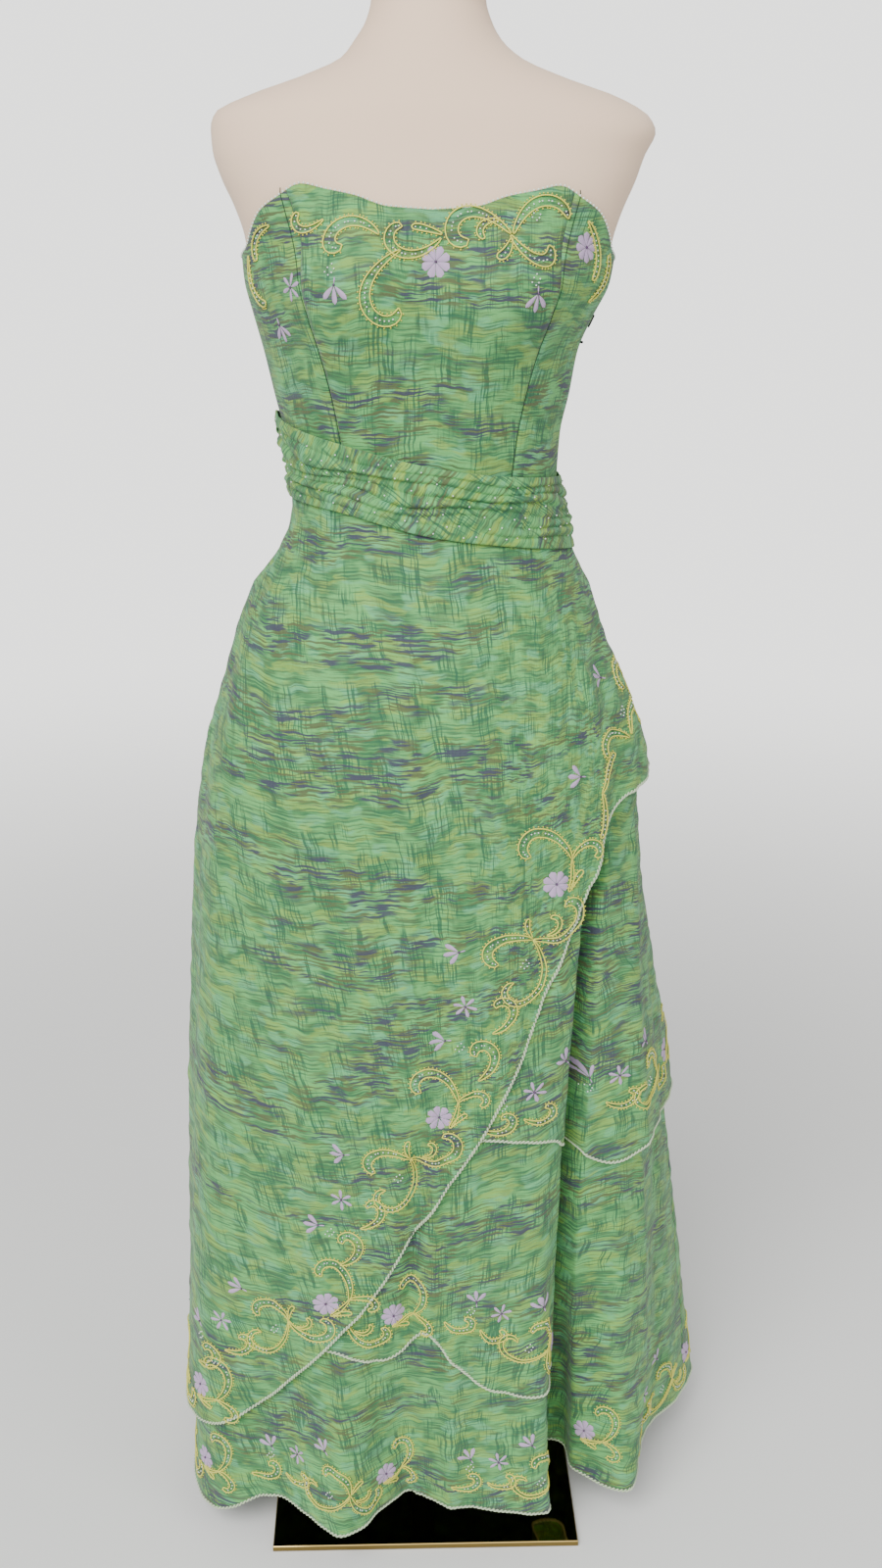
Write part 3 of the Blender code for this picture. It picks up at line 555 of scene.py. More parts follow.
def running_relief(turn, height):
    """Sum of the creases that wind: each is a bell of its own sharpness across its line."""
    front = to_front(turn)
    share = np.where(np.abs(wrapped(turn)) > SIDE, BACK_SHARE, 1.0)
    total = np.zeros(np.broadcast(turn, height).shape)
    for line, half_width, out, power, top in RUNNING_CREASES:
        aside = np.abs(front - curve_through(line, height)) / half_width
        total = total + share * out * np.exp(-(aside ** power)) * ease((top - height) / CREASE_FADE)
    return total


def pucker_relief(turn, height):
    """Soft uneven puckering of the crinkled cloth, a sum of slanting waves."""
    across = np.radians(wrapped(turn)) * 0.2
    total = np.zeros(np.broadcast(turn, height).shape)
    for per_across, per_up, phase, size in PUCKERS:
        total = total + size * np.sin(2.0 * math.pi * (per_across * across + per_up * height) + phase)
    return total


def underskirt_lift(turn, height):
    """Distance of the underskirt's outer face from the gown surface."""
    return UNDERSKIRT_LIFT + CLOTH + 0.0 * height


def overlay_lift(turn, height):
    """The same of the overlay, whose pointed corner stands off at the wearer's left hip."""
    flare = ease((to_front(turn) - CORNER_TURN) / FLARE_RUN) * ease((CORNER_TOP - height) / FLARE_DROP)
    return curve_through(OVERLAY_LIFT, height) + CORNER_FLARE * flare + CLOTH


def middle_lift(turn, height):
    """The same of the middle tier, which stands off over the wearer's left side."""
    flare = ease((to_front(turn) - CORNER_TURN) / FLARE_RUN) * ease((MIDDLE_TOP - height) / CONE_RUN)
    return curve_through(MIDDLE_LIFT, height) + CONE_FLARE * flare + CLOTH


def flounce_lift(turn, height):
    """The same of the front flounce."""
    return curve_through(FLOUNCE_LIFT, height) + CLOTH


def bodice_lift(turn, height):
    """The same of the bodice."""
    above = ease((height - waist_height(turn)) / BODICE_RUN)
    return FORM_EASE + BODICE_EASE * above + BODICE_CLOTH


def sash_lift(turn, height):
    """The same of the sash: rounded folds with sharp valleys that fan out across the band."""
    front = to_front(turn)
    top = curve_through([(row[0], row[1]) for row in SASH_EDGES], front)
    bottom = curve_through([(row[0], row[2]) for row in SASH_EDGES], front)
    down = np.clip((top - height) / (top - bottom), 0.0, 1.0)
    bend = 0.050 * np.sin(np.radians(3.1 * turn + 40.0)) + 0.030 * np.sin(np.radians(7.3 * turn))
    wave = SASH_WAVE * np.sin(np.radians(5.3 * turn + 500.0 * down)) * down * (1.0 - down)
    place = SASH_FOLDS * (down + (SASH_DRIFT * front / SIDE / SASH_FOLDS + bend) * np.sin(math.pi * down) + wave)
    count = np.floor(place)
    within = place - count
    size = 0.66 + 0.34 * np.sin(2.3 * count + 0.045 * turn + 1.1 * np.sin(0.7 * count))
    ridge = np.sin(math.pi * within ** SASH_LEAN) ** 0.55
    thin = np.sqrt(np.sin(math.pi * np.clip(down, SASH_EDGE, 1.0 - SASH_EDGE)))
    gathers = np.sin(np.radians(47.0 * turn + 240.0 * down)) * np.exp(-(((front + SIDE) / SASH_GATHERED) ** 2))
    gathers = gathers + 0.7 * np.sin(np.radians(39.0 * turn - 200.0 * down)) * np.exp(-(((front - SIDE) / SASH_GATHERED) ** 2))
    return SASH_LIFT + SASH_BODY + (SASH_FOLD * ridge * size + SASH_GATHER * gathers) * thin


LIFTS = {
    "underskirt": underskirt_lift,
    "overlay": overlay_lift,
    "middle_tier": middle_lift,
    "front_flounce": flounce_lift,
    "bodice": bodice_lift,
    "sash": sash_lift,
}


def cloth_point(layer, turn, height, out=0.0):
    """Point on a layer's outer face, with its creases and puckers, moved out, and the way out there."""
    turn = np.asarray(turn, dtype=float)
    height = np.asarray(height, dtype=float)
    lift = LIFTS[layer](turn, height) + out
    if layer == "bodice":
        lift = lift + crease_relief(BODICE_CREASES, turn, height)
    elif layer != "sash":
        free = ease((waist_height(turn) - height) / 0.08)
        lift = lift + free * (crease_relief(CREASES, turn, height) + pucker_relief(turn, height))
        if layer != "overlay":
            lift = lift + running_relief(turn, height)
    return lifted(GOWN_RINGS, turn, height, lift)


def level_arc(turn_from, turn_to, height):
    """Turns and the cloth's length along a level between two turns."""
    turns = np.linspace(turn_from, turn_to, 1441)
    points = surface_point(GOWN_RINGS, turns, np.full_like(turns, height), True)
    steps = np.linalg.norm(np.diff(points, axis=0), axis=-1)
    return turns, np.concatenate([[0.0], np.cumsum(steps)])


def even_turns(start, end, height, cell):
    """Turns that stand evenly along the cloth at a level, but closer at the deep fold."""
    turns, arc = level_arc(start, end, height)
    closer = 1.0 + 2.0 * np.exp(-(((to_front(turns[1:]) - FOLD_MIDDLE) / FOLD_REACH) ** 4))
    arc = np.concatenate([[0.0], np.cumsum(np.diff(arc) * closer)])
    count = int(math.ceil(arc[-1] / cell))
    return np.interp(np.linspace(0.0, arc[-1], count + 1), arc, turns)


def flat_to_turn(turn, height, across):
    """Turn that lies so far across the flat cloth from a turn, at its height."""
    turns, arc = level_arc(turn - 100.0, turn + 100.0, height)
    return np.interp(np.interp(turn, turns, arc) + across, arc, turns)


def wall_faces(rows, columns):
    """Quads of a closed wall: the outer grid, the inner grid turned round, and the rim."""
    index = np.arange(rows * columns).reshape(rows, columns)
    outer = np.stack([index[:-1, :-1], index[1:, :-1], index[1:, 1:], index[:-1, 1:]], axis=-1).reshape(-1, 4)
    rim = np.concatenate([index[0, :], index[1:, -1], index[-1, -2::-1], index[-2:0:-1, 0]])
    following = np.roll(rim, -1)
    inside = rows * columns
    edge = np.stack([rim + inside, rim, following, following + inside], axis=-1)
    return np.concatenate([outer, outer[:, ::-1] + inside, edge])


def tube_faces(lines, samples, sides, closed):
    """Quads of many tubes side by side, each a run of rings."""
    index = np.arange(lines * samples * sides).reshape(lines, samples, sides)
    ahead = np.roll(index, -1, axis=1) if closed else index[:, 1:]
    here = index if closed else index[:, :-1]
    return np.stack([here, np.roll(here, -1, axis=2), np.roll(ahead, -1, axis=2), ahead], axis=-1).reshape(-1, 4)


def new_piece(name, points, faces, material, uv=None):
    """Object from arrays of points and faces, shaded smooth, which rides on the frame."""
    mesh = bpy.data.meshes.new(name)
    mesh.from_pydata(points.reshape(-1, 3).tolist(), [], faces.tolist())
    mesh.polygons.foreach_set("use_smooth", np.ones(len(mesh.polygons), dtype=bool))
    if uv is not None:
        layer = mesh.uv_layers.new(name="cloth")
        layer.data.foreach_set("uv", uv.reshape(-1, 2)[np.asarray(faces).ravel()].ravel().astype(np.float32))
    mesh.materials.append(material)
    piece = bpy.data.objects.new(name, mesh)
    bpy.context.scene.collection.objects.link(piece)
    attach(piece, "root")
    return piece


def cloth_uv(points, turns, heights, skirt):
    """Place on the cloth in metres: along the weft from the piece's middle, and up."""
    steps = np.linalg.norm(np.diff(points, axis=1), axis=-1)
    along = np.concatenate([np.zeros((len(points), 1)), np.cumsum(steps, axis=1)], axis=1)
    along = along - along[:, along.shape[1] // 2][:, None]
    up = heights.copy()
    if skirt:
        drop = ease((WAIST_HEIGHT - heights) / 0.6)
        up = up - curve_through(WEFT_RISE, to_front(turns)) * drop
    return np.stack([along, up], axis=-1)


def wall_piece(name, layer, turns, heights, thick, material, shift, skirt=True):
    """Thin wall of one piece of cloth from grids of turns and heights."""
    outer, _ = cloth_point(layer, turns, heights)
    inner, _ = cloth_point(layer, turns, heights, -thick)
    uv = cloth_uv(outer, turns, heights, skirt) + np.array(shift)
    points = np.concatenate([outer.reshape(-1, 3), inner.reshape(-1, 3)])
    return new_piece(name, points, wall_faces(*turns.shape), material, np.concatenate([uv, uv]))


def skirt_piece(name, layer, start, end, top, hem, cell, coarse, material, shift):
    """Skirt piece from its top line to its hem, with wider rows over the share that is hidden."""
    inset = math.degrees(SEAM / 2.0 / 0.2)
    columns = even_turns(start + inset, end - inset, float(np.mean(hem(np.linspace(start, end, 50)))), cell)
    low = hem(columns)
    high = top(columns)
    length = float(np.max(high - low))
    hidden = np.linspace(0.0, coarse, int(length * coarse / (3.0 * cell)) + 2)[:-1]
    shown = np.linspace(coarse, 1.0, int(length * (1.0 - coarse) / cell) + 2)
    shares = np.concatenate([hidden, shown])[:, None]
    heights = high + (low - high) * shares
    turns = np.broadcast_to(columns, heights.shape)
    return wall_piece(name, layer, turns, heights, CLOTH, material, shift)


def skirt_top(turn):
    """Top edge of both skirts, just under the waist seam."""
    return waist_height(turn) - SEAM


def overlay_hem(turn):
    """Height of the overlay's hem, mirrored from front to back."""
    return curve_through(OVERLAY_HEM, to_front(turn))


def middle_hem(turn):
    """Height of the middle tier's hem, mirrored from front to back."""
    return curve_through(MIDDLE_HEM, to_front(turn))


def flounce_hem(turn):
    """Height of the front flounce's hem."""
    return curve_through(FRONT_FLOUNCE_HEM, turn)


def underskirt_hem(turn):
    """Height of the underskirt's hem."""
    return curve_through(UNDERSKIRT_HEM, wrapped(turn))


def neckline(turn):
    """Height of the bodice's top edge."""
    return curve_through(NECKLINE, np.abs(wrapped(turn)))


def princess_turn(height):
    """Turn of the curved seam between the bodice's front and its side front."""
    return curve_through(PRINCESS, height)


def bodice_panel(name, right_edge, left_edge, cell, material, shift):
    """Bodice panel between two seams, each a turn that depends on the height."""
    rows = int(0.235 / cell) + 1
    share = np.linspace(0.0, 1.0, rows)[:, None]
    rough = NECKLINE[0][1] + (WAIST_HEIGHT - NECKLINE[0][1]) * share
    width = float(np.max(left_edge(rough) - right_edge(rough)))
    across = np.linspace(0.0, 1.0, int(math.radians(width) * 0.13 / cell) + 2)[None, :]
    inset = math.degrees(SEAM / 2.0 / 0.12)
    turns = (right_edge(rough) + inset) * (1.0 - across) + (left_edge(rough) - inset) * across
    top = neckline(turns)
    heights = top + (waist_height(turns) - top) * share
    return wall_piece(name, "bodice", turns, heights, BODICE_CLOTH, material, shift, False)


def sash_piece(name, start, end, cell, material, shift):
    """Gathered band, a thin wall that follows its folds, with the weave on the bias."""
    inset = math.degrees(SEAM / 2.0 / 0.11)
    columns = even_turns(start + inset, end - inset, 1.03, cell)
    top = curve_through([(row[0], row[1]) for row in SASH_EDGES], to_front(columns))
    bottom = curve_through([(row[0], row[2]) for row in SASH_EDGES], to_front(columns))
    share = np.linspace(0.0, 1.0, 12 * SASH_FOLDS + 1)[:, None]
    heights = top + (bottom - top) * share
    turns = np.broadcast_to(columns, heights.shape)
    outer, _ = cloth_point("sash", turns, heights)
    thin = np.maximum(SASH_LIFT - sash_lift(turns, heights), -CLOTH)
    inner, _ = cloth_point("sash", turns, heights, thin)
    flat = cloth_uv(outer, turns, heights, False)
    steps = np.linalg.norm(np.diff(outer, axis=0), axis=-1)
    down = np.concatenate([np.zeros((1, steps.shape[1])), np.cumsum(steps, axis=0)], axis=0)
    bias = (flat[..., 0] - 1j * down) * np.exp(1j * math.radians(SASH_BIAS))
    uv = np.stack([bias.real, bias.imag], axis=-1) + np.array(shift)
    points = np.concatenate([outer.reshape(-1, 3), inner.reshape(-1, 3)])
    return new_piece(name, points, wall_faces(*turns.shape), material, np.concatenate([uv, uv]))


def tube_points(lines, ups, radius, sides):
    """Rings of points round many lines, each ring square to its line."""
    along = np.gradient(lines, axis=1)
    along = along / np.maximum(np.linalg.norm(along, axis=-1, keepdims=True), 1e-9)
    beside = np.cross(along, ups)
    beside = beside / np.maximum(np.linalg.norm(beside, axis=-1, keepdims=True), 1e-9)
    above = np.cross(beside, along)
    angles = (np.arange(sides) + 0.5) * 2.0 * math.pi / sides
    ring = np.cos(angles)[:, None] * beside[:, :, None, :] + np.sin(angles)[:, None] * above[:, :, None, :]
    return lines[:, :, None, :] + radius * ring


def tube_uv(lines, sides):
    """Length along each line, and the share of the way round it."""
    steps = np.linalg.norm(np.diff(lines, axis=1), axis=-1)
    along = np.concatenate([np.zeros((len(lines), 1)), np.cumsum(steps, axis=1)], axis=1)
    round_it = np.broadcast_to(np.arange(sides) / sides, along.shape + (sides,))
    return np.stack([np.broadcast_to(along[..., None], round_it.shape), round_it], axis=-1)


def scroll_spines(foot, tip, curl, samples):
    """Spine of each scroll as complex numbers: it starts straight, curls ever tighter and ends at its tip."""
    share = np.linspace(0.0, 1.0, samples)
    heading = np.exp(1j * np.radians(curl)[:, None] * (SCROLL_BEND * share + (1.0 - SCROLL_BEND) * share ** 3.4))
    line = np.cumsum((heading[:, 1:] + heading[:, :-1]) / 2.0, axis=1)
    line = np.concatenate([np.zeros((len(curl), 1)), line], axis=1)
    turn_and_size = ((tip - foot) / line[:, -1])[:, None]
    return foot[:, None] + line * turn_and_size, heading * turn_and_size / np.abs(turn_and_size)


def scroll_width(half_width, samples):
    """Half width along a scroll: a thin foot, a full head, a rounded tip."""
    share = np.linspace(0.0, 1.0, samples)
    return half_width[:, None] * 1.22 * share ** 0.6 * np.sqrt(1.0 - share ** 6) + 0.0003


def border_place(rows, place):
    """Flat places of one repeat of the border, turned along its hem and mirrored inwards."""
    _, _, along, scale, _, _ = place
    rows = np.array(rows, dtype=float)
    way = np.exp(1j * math.radians(along)) * scale
    return (rows[:, 0] - 1j * rows[:, 1]) * way


def showing(place, flat):
    """Whether flat places of a repeat lie between the turns where it shows."""
    turn, height, _, _, first, last = place
    turns = flat_to_turn(turn, height, np.asarray(flat).real)
    return (turns >= first) & (turns <= last)


def scroll_rows(layer, singles, repeats):
    """Feet and tips on the flat round an origin each, for single scrolls and the border's repeats."""
    sets = []
    for turn, height, tip_turn, tip_height, curl, half_width in singles:
        turns, arc = level_arc(turn - 60.0, turn + 60.0, height)
        reach = np.interp(tip_turn, turns, arc) - np.interp(turn, turns, arc)
        tip = reach + 1j * (tip_height - height)
        sets.append((turn, height, np.array([0j]), np.array([tip]), np.array([curl]), np.array([half_width])))
    table = np.array(BORDER_SCROLLS)
    for place in repeats:
        foot = border_place(table[:, 0:2], place)
        tip = border_place(table[:, 2:4], place)
        kept = showing(place, foot) & showing(place, tip)
        sets.append((place[0], place[1], foot[kept], tip[kept], table[kept, 4], table[kept, 5] * place[3]))
    return sets


def on_cloth(layer, turn, height, flat, out, mirrored):
    """Points of the layer's face for flat places round an origin, or their mirror on the back."""
    turns = flat_to_turn(turn, height, flat.real)
    heights = height + flat.imag
    if mirrored:
        turns = 180.0 - turns
    return cloth_point(layer, turns, heights, out)


def spaced(points, ways, wide, spacing, least):
    """Points that stand a spacing apart along lines, where the lines are wide enough."""
    steps = np.linalg.norm(np.diff(points, axis=1), axis=-1)
    arc = np.concatenate([np.zeros((len(points), 1)), np.cumsum(steps, axis=1)], axis=1)
    marks = np.floor(arc / spacing)
    here = np.zeros(arc.shape, dtype=bool)
    here[:, 1:] = marks[:, 1:] > marks[:, :-1]
    here &= wide >= least
    return points[here], ways[here]


def blob_arrays(centres, ups, size, fine):
    """Small round solids, octahedra or icosahedra that are shaded smooth."""
    if fine:
        gold = (1.0 + math.sqrt(5.0)) / 2.0
        base = np.array(
            [(-1, gold, 0), (1, gold, 0), (-1, -gold, 0), (1, -gold, 0), (0, -1, gold), (0, 1, gold),
             (0, -1, -gold), (0, 1, -gold), (gold, 0, -1), (gold, 0, 1), (-gold, 0, -1), (-gold, 0, 1)]
        ) / math.hypot(1.0, gold)
        faces = np.array(
            [(0, 11, 5), (0, 5, 1), (0, 1, 7), (0, 7, 10), (0, 10, 11), (1, 5, 9), (5, 11, 4), (11, 10, 2),
             (10, 7, 6), (7, 1, 8), (3, 9, 4), (3, 4, 2), (3, 2, 6), (3, 6, 8), (3, 8, 9), (4, 9, 5),
             (2, 4, 11), (6, 2, 10), (8, 6, 7), (9, 8, 1)]
        )
    else:
        base = np.array([(1, 0, 0), (-1, 0, 0), (0, 1, 0), (0, -1, 0), (0, 0, 1), (0, 0, -1)], dtype=float)
        faces = np.array([(0, 2, 4), (2, 1, 4), (1, 3, 4), (3, 0, 4), (2, 0, 5), (1, 2, 5), (3, 1, 5), (0, 3, 5)])
    points = centres[:, None, :] + base[None, :, :] * size
    count = np.arange(len(centres))[:, None, None] * len(base)
    return points.reshape(-1, 3), (faces[None] + count).reshape(-1, 3)


def scroll_pieces(layer, sets, mirrors, samples):
    """Outline threads, knots and beads of all scrolls of a layer, as arrays."""
    threads, thread_ups, knots, knot_ups, beads, bead_ups = [], [], [], [], [], []
    for mirrored in mirrors:
        for turn, height, foot, tip, curl, half_width in sets:
            spine, heading = scroll_spines(foot, tip, curl, samples)
            half = scroll_width(half_width, samples)
            left = spine + 1j * heading * half
            right = spine - 1j * heading * half
            loop = np.concatenate([left, right[:, ::-1]], axis=1)
            points, ups = on_cloth(layer, turn, height, loop, THREAD * 1.1, mirrored)
            threads.append(points)
            thread_ups.append(ups)
            for side, sign in ((left, 1j), (right, -1j)):
                beside = side + sign * heading * (THREAD + PICOT * 0.9)
                points, ups = on_cloth(layer, turn, height, beside, PICOT * 0.6, mirrored)
                found = spaced(points, ups, half, 0.0036, 0.0004)
                knots.append(found[0])
                knot_ups.append(found[1])
            points, ups = on_cloth(layer, turn, height, spine, BEAD * 0.7, mirrored)
            found = spaced(points, ups, half, 0.0042, 0.0020)
            beads.append(found[0])
            bead_ups.append(found[1])
    join = np.concatenate
    return join(threads), join(thread_ups), join(knots), join(knot_ups), join(beads), join(bead_ups)


def flower_sets(singles, repeats):
    """Kind, origin turn and height, flat place and pointing of every flower."""
    found = [(kind, turn, height, 0j, pointing) for kind, turn, height, pointing in singles]
    for place in repeats:
        for kind, along, inward, pointing in BORDER_FLOWERS:
            flat = border_place([(along, inward)], place)[0]
            if showing(place, flat):
                found.append((kind, place[0], place[1], flat, place[2] - pointing))
    return found


def petal_grid(length, half_width, blunt):
    """Petal as flat places and a dome over them: wide or pointed at its end."""
    t = np.linspace(0.0, 1.0, 8)[:, None]
    s = np.linspace(-1.0, 1.0, 5)[None, :]
    profile = t ** 0.85 * np.clip(1.0 - t ** blunt, 0.0, 1.0) ** 0.5 + 0.04
    flat = (0.08 + 0.92 * t) * length + 1j * s * half_width * profile
    dome = 0.0007 * (1.0 - s * s) * (0.4 + 0.6 * np.sin(math.pi * t)) + 0.00015
    return flat, dome


def flower_pieces(layer, found, mirrors):
    """Petals of all flowers of a layer, and the places of their beads, as arrays."""
    petals, uvs, beads, bead_ups, knots, knot_ups = [], [], [], [], [], []
    for mirrored in mirrors:
        for kind, turn, height, flat, pointing in found:
            way = np.exp(1j * math.radians(pointing))
            if kind == "cluster":
                ring = flat + CLUSTER_RING * np.exp(2j * math.pi * (np.arange(6) + 0.3) / 6.0) * np.array([1, 1.3, 0.8, 1.2, 1, 0.7])
                points, ups = on_cloth(layer, turn, height, ring, BEAD * 0.7, mirrored)
                beads.append(points)
                bead_ups.append(ups)
                continue
            for first, last, count, length, half_width, blunt in PETALS[kind]:
                for angle in np.linspace(first, last, count):
                    shape, dome = petal_grid(length, half_width, blunt)
                    spot = flat + shape * way * np.exp(1j * math.radians(angle))
                    points, _ = on_cloth(layer, turn, height, spot, dome, mirrored)
                    petals.append(points)
                    uvs.append(np.stack([shape.real, shape.imag], axis=-1))
            points, ups = on_cloth(layer, turn, height, np.array([flat]), BEAD * 0.9, mirrored)
            knots.append(points)
            knot_ups.append(ups)
    return petals, uvs, beads, knots


def node_in(tree, kind, values=None, **settings):
    """New node with its settings and its input values or links."""
    node = tree.nodes.new(kind)
    for key, value in settings.items():
        setattr(node, key, value)
    for key, value in (values or {}).items():
        if isinstance(value, bpy.types.NodeSocket):
            tree.links.new(value, node.inputs[key])
        else:
            node.inputs[key].default_value = value
    return node


def math_in(tree, operation, a, b=0.0):
    """Result of one step of arithmetic."""
    return node_in(tree, "ShaderNodeMath", {0: a, 1: b}, operation=operation).outputs[0]


def noise_in(tree, place, across, up, detail=1.0):
    """Noise with so many blotches per metre across and up the cloth."""
    scaled = node_in(tree, "ShaderNodeVectorMath", {0: place, 1: (across, up, 1.0)}, operation="MULTIPLY")
    noise = node_in(
        tree, "ShaderNodeTexNoise", {"Vector": scaled.outputs[0], "Scale": 1.0, "Detail": detail},
        noise_dimensions="2D",
    )
    return noise.outputs[0]


def step_in(tree, value, low, high, most=1.0):
    """Soft step of a value from 0 at low to most at high."""
    step = node_in(
        tree, "ShaderNodeMapRange", {"Value": value, "From Min": low, "From Max": high, "To Max": most},
        interpolation_type="SMOOTHSTEP",
    )
    return step.outputs[0]


def mix_in(tree, share, first, second):
    """Mix of two colours."""
    def colour(value):
        return value if isinstance(value, bpy.types.NodeSocket) else (*value, 1.0)

    mix = node_in(tree, "ShaderNodeMix", {0: share, 6: colour(first), 7: colour(second)}, data_type="RGBA")
    return mix.outputs[2]


def new_group(name, inputs, outputs):
    """Shader node group with its named sockets."""
    tree = bpy.data.node_groups.new(name, "ShaderNodeTree")
    for title, kind in inputs:
        tree.interface.new_socket(title, in_out="INPUT", socket_type=kind)
    for title, kind in outputs:
        tree.interface.new_socket(title, in_out="OUTPUT", socket_type=kind)
    return tree, tree.nodes.new("NodeGroupInput"), tree.nodes.new("NodeGroupOutput")


def gauze_group():
    """Crinkled slub gauze: patches of green, warp and weft streaks, violet slubs in bands."""
    tree, source, sink = new_group(
        "Crinkled gauze",
        [("Place", "NodeSocketVector"), ("Slubs", "NodeSocketFloat"), ("Yellow", "NodeSocketFloat")],
        [("Color", "NodeSocketColor"), ("Height", "NodeSocketFloat")],
    )
    place = source.outputs["Place"]
    parts = node_in(tree, "ShaderNodeSeparateXYZ", {0: place})
    quick = noise_in(tree, place, 75.0, 30.0, 1.0)
    slow = noise_in(tree, place, 13.0, 9.0)
    aside = noise_in(tree, place, 26.0, 80.0)
    wander = math_in(tree, "MULTIPLY", math_in(tree, "SUBTRACT", quick, 0.5), 0.0030)
    drift = math_in(tree, "MULTIPLY", math_in(tree, "SUBTRACT", slow, 0.5), 0.0160)
    up = math_in(tree, "ADD", math_in(tree, "ADD", parts.outputs[1], wander), drift)
    shift = math_in(tree, "MULTIPLY", math_in(tree, "SUBTRACT", aside, 0.5), 0.0026)
    across = math_in(tree, "ADD", parts.outputs[0], shift)
    woven = node_in(tree, "ShaderNodeCombineXYZ", {0: across, 1: up}).outputs[0]

    patch = noise_in(tree, woven, 30.0, 42.0, 2.0)
    colour = mix_in(tree, step_in(tree, patch, 0.40, 0.60), COLOURS["green"], COLOURS["light"])
    aqua = step_in(tree, noise_in(tree, woven, 34.0, 60.0, 1.0), 0.56, 0.66, 0.8)
    colour = mix_in(tree, aqua, colour, COLOURS["aqua"])
    gold_patch = step_in(tree, noise_in(tree, woven, 30.0, 90.0, 2.0), 0.52, 0.62)
    colour = mix_in(tree, math_in(tree, "MULTIPLY", gold_patch, source.outputs["Yellow"]), colour, COLOURS["yellow"])
    weft = noise_in(tree, woven, 30.0, 640.0, 2.0)
    colour = mix_in(tree, step_in(tree, weft, 0.53, 0.64, 0.6), colour, COLOURS["light"])
    colour = mix_in(tree, step_in(tree, weft, 0.47, 0.36, 0.7), colour, COLOURS["teal"])
    warp = noise_in(tree, woven, 520.0, 26.0, 2.0)
    warp_patch = step_in(tree, noise_in(tree, woven, 44.0, 24.0, 1.0), 0.46, 0.58, 0.85)
    warp_share = math_in(tree, "MULTIPLY", step_in(tree, warp, 0.49, 0.58), warp_patch)
    colour = mix_in(tree, warp_share, colour, COLOURS["teal"])
    band = step_in(tree, noise_in(tree, woven, 4.0, 24.0, 2.0), 0.46, 0.58)
    brown = noise_in(tree, woven, 40.0, 420.0, 2.0)
    brown_band = math_in(tree, "ADD", math_in(tree, "MULTIPLY", band, 0.7), 0.3)
    brown_share = math_in(tree, "MULTIPLY", step_in(tree, brown, 0.51, 0.60, 0.9), brown_band)
    colour = mix_in(tree, brown_share, colour, COLOURS["olive"])
    slub = noise_in(tree, woven, 34.0, 480.0, 1.0)
    bunch = step_in(tree, noise_in(tree, woven, 24.0, 70.0, 1.0), 0.44, 0.54)
    slub_share = math_in(tree, "MULTIPLY", step_in(tree, slub, 0.50, 0.56, 0.95), math_in(tree, "MULTIPLY", band, bunch))
    slub_share = math_in(tree, "MULTIPLY", slub_share, source.outputs["Slubs"])
    colour = mix_in(tree, slub_share, colour, COLOURS["violet"])
    tree.links.new(colour, sink.inputs["Color"])

    crimp = noise_in(tree, woven, 300.0, 110.0, 3.0)
    height = math_in(tree, "ADD", math_in(tree, "MULTIPLY", weft, 0.8), math_in(tree, "MULTIPLY", warp, 0.4))
    height = math_in(tree, "ADD", height, math_in(tree, "MULTIPLY", crimp, 1.2))
    height = math_in(tree, "ADD", height, math_in(tree, "MULTIPLY", slub_share, 0.3))
    tree.links.new(height, sink.inputs["Height"])
    return tree


def twist_group():
    """Twist of a thread: slanting ribs along its length and round it."""
    tree, source, sink = new_group(
        "Thread twist",
        [("Place", "NodeSocketVector"), ("Pitch", "NodeSocketFloat")],
        [("Height", "NodeSocketFloat")],
    )
    parts = node_in(tree, "ShaderNodeSeparateXYZ", {0: source.outputs["Place"]})
    along = math_in(tree, "DIVIDE", parts.outputs[0], source.outputs["Pitch"])
    slant = math_in(tree, "MULTIPLY", math_in(tree, "ADD", along, parts.outputs[1]), 2.0 * math.pi)
    rib = math_in(tree, "SINE", slant)
    tree.links.new(rib, sink.inputs["Height"])
    return tree


def plain_material(name, colour, roughness, metallic=0.0, coat=0.0, sheen=0.0):
    """Principled material with plain values on its own sockets."""
    material = bpy.data.materials.new(name)
    material.use_nodes = True
    shader = material.node_tree.nodes["Principled BSDF"]
    shader.inputs["Base Color"].default_value = (*colour, 1.0)
    shader.inputs["Roughness"].default_value = roughness
    shader.inputs["Metallic"].default_value = metallic
    shader.inputs["Coat Weight"].default_value = coat
    shader.inputs["Sheen Weight"].default_value = sheen
    return material


def bump_into(material, height, distance, strength):
    """Bump from a height to the shader's normal."""
    tree = material.node_tree
    bump = node_in(tree, "ShaderNodeBump", {"Height": height, "Distance": distance, "Strength": strength})
    tree.links.new(bump.outputs[0], tree.nodes["Principled BSDF"].inputs["Normal"])


def gauze_material(name, group, slubs, yellow, distance):
    """Gauze on the piece's own cloth places."""
    material = plain_material(name, COLOURS["green"], 0.78, sheen=0.12)
    tree = material.node_tree
    place = node_in(tree, "ShaderNodeUVMap", uv_map="cloth").outputs[0]
    gauze = node_in(tree, "ShaderNodeGroup", node_tree=group)
    tree.links.new(place, gauze.inputs["Place"])
    gauze.inputs["Slubs"].default_value = slubs
    gauze.inputs["Yellow"].default_value = yellow
    tree.links.new(gauze.outputs["Color"], tree.nodes["Principled BSDF"].inputs["Base Color"])
    bump_into(material, gauze.outputs["Height"], distance, 1.0)
    return material


def thread_material(name, group, colour, pitch, roughness):
    """Sewing thread or cord with its twist."""
    material = plain_material(name, colour, roughness, sheen=0.1)
    tree = material.node_tree
    place = node_in(tree, "ShaderNodeUVMap", uv_map="cloth").outputs[0]
    twist = node_in(tree, "ShaderNodeGroup", node_tree=group)
    tree.links.new(place, twist.inputs["Place"])
    twist.inputs["Pitch"].default_value = pitch
    bump_into(material, twist.outputs["Height"], 0.0001, 0.8)
    return material


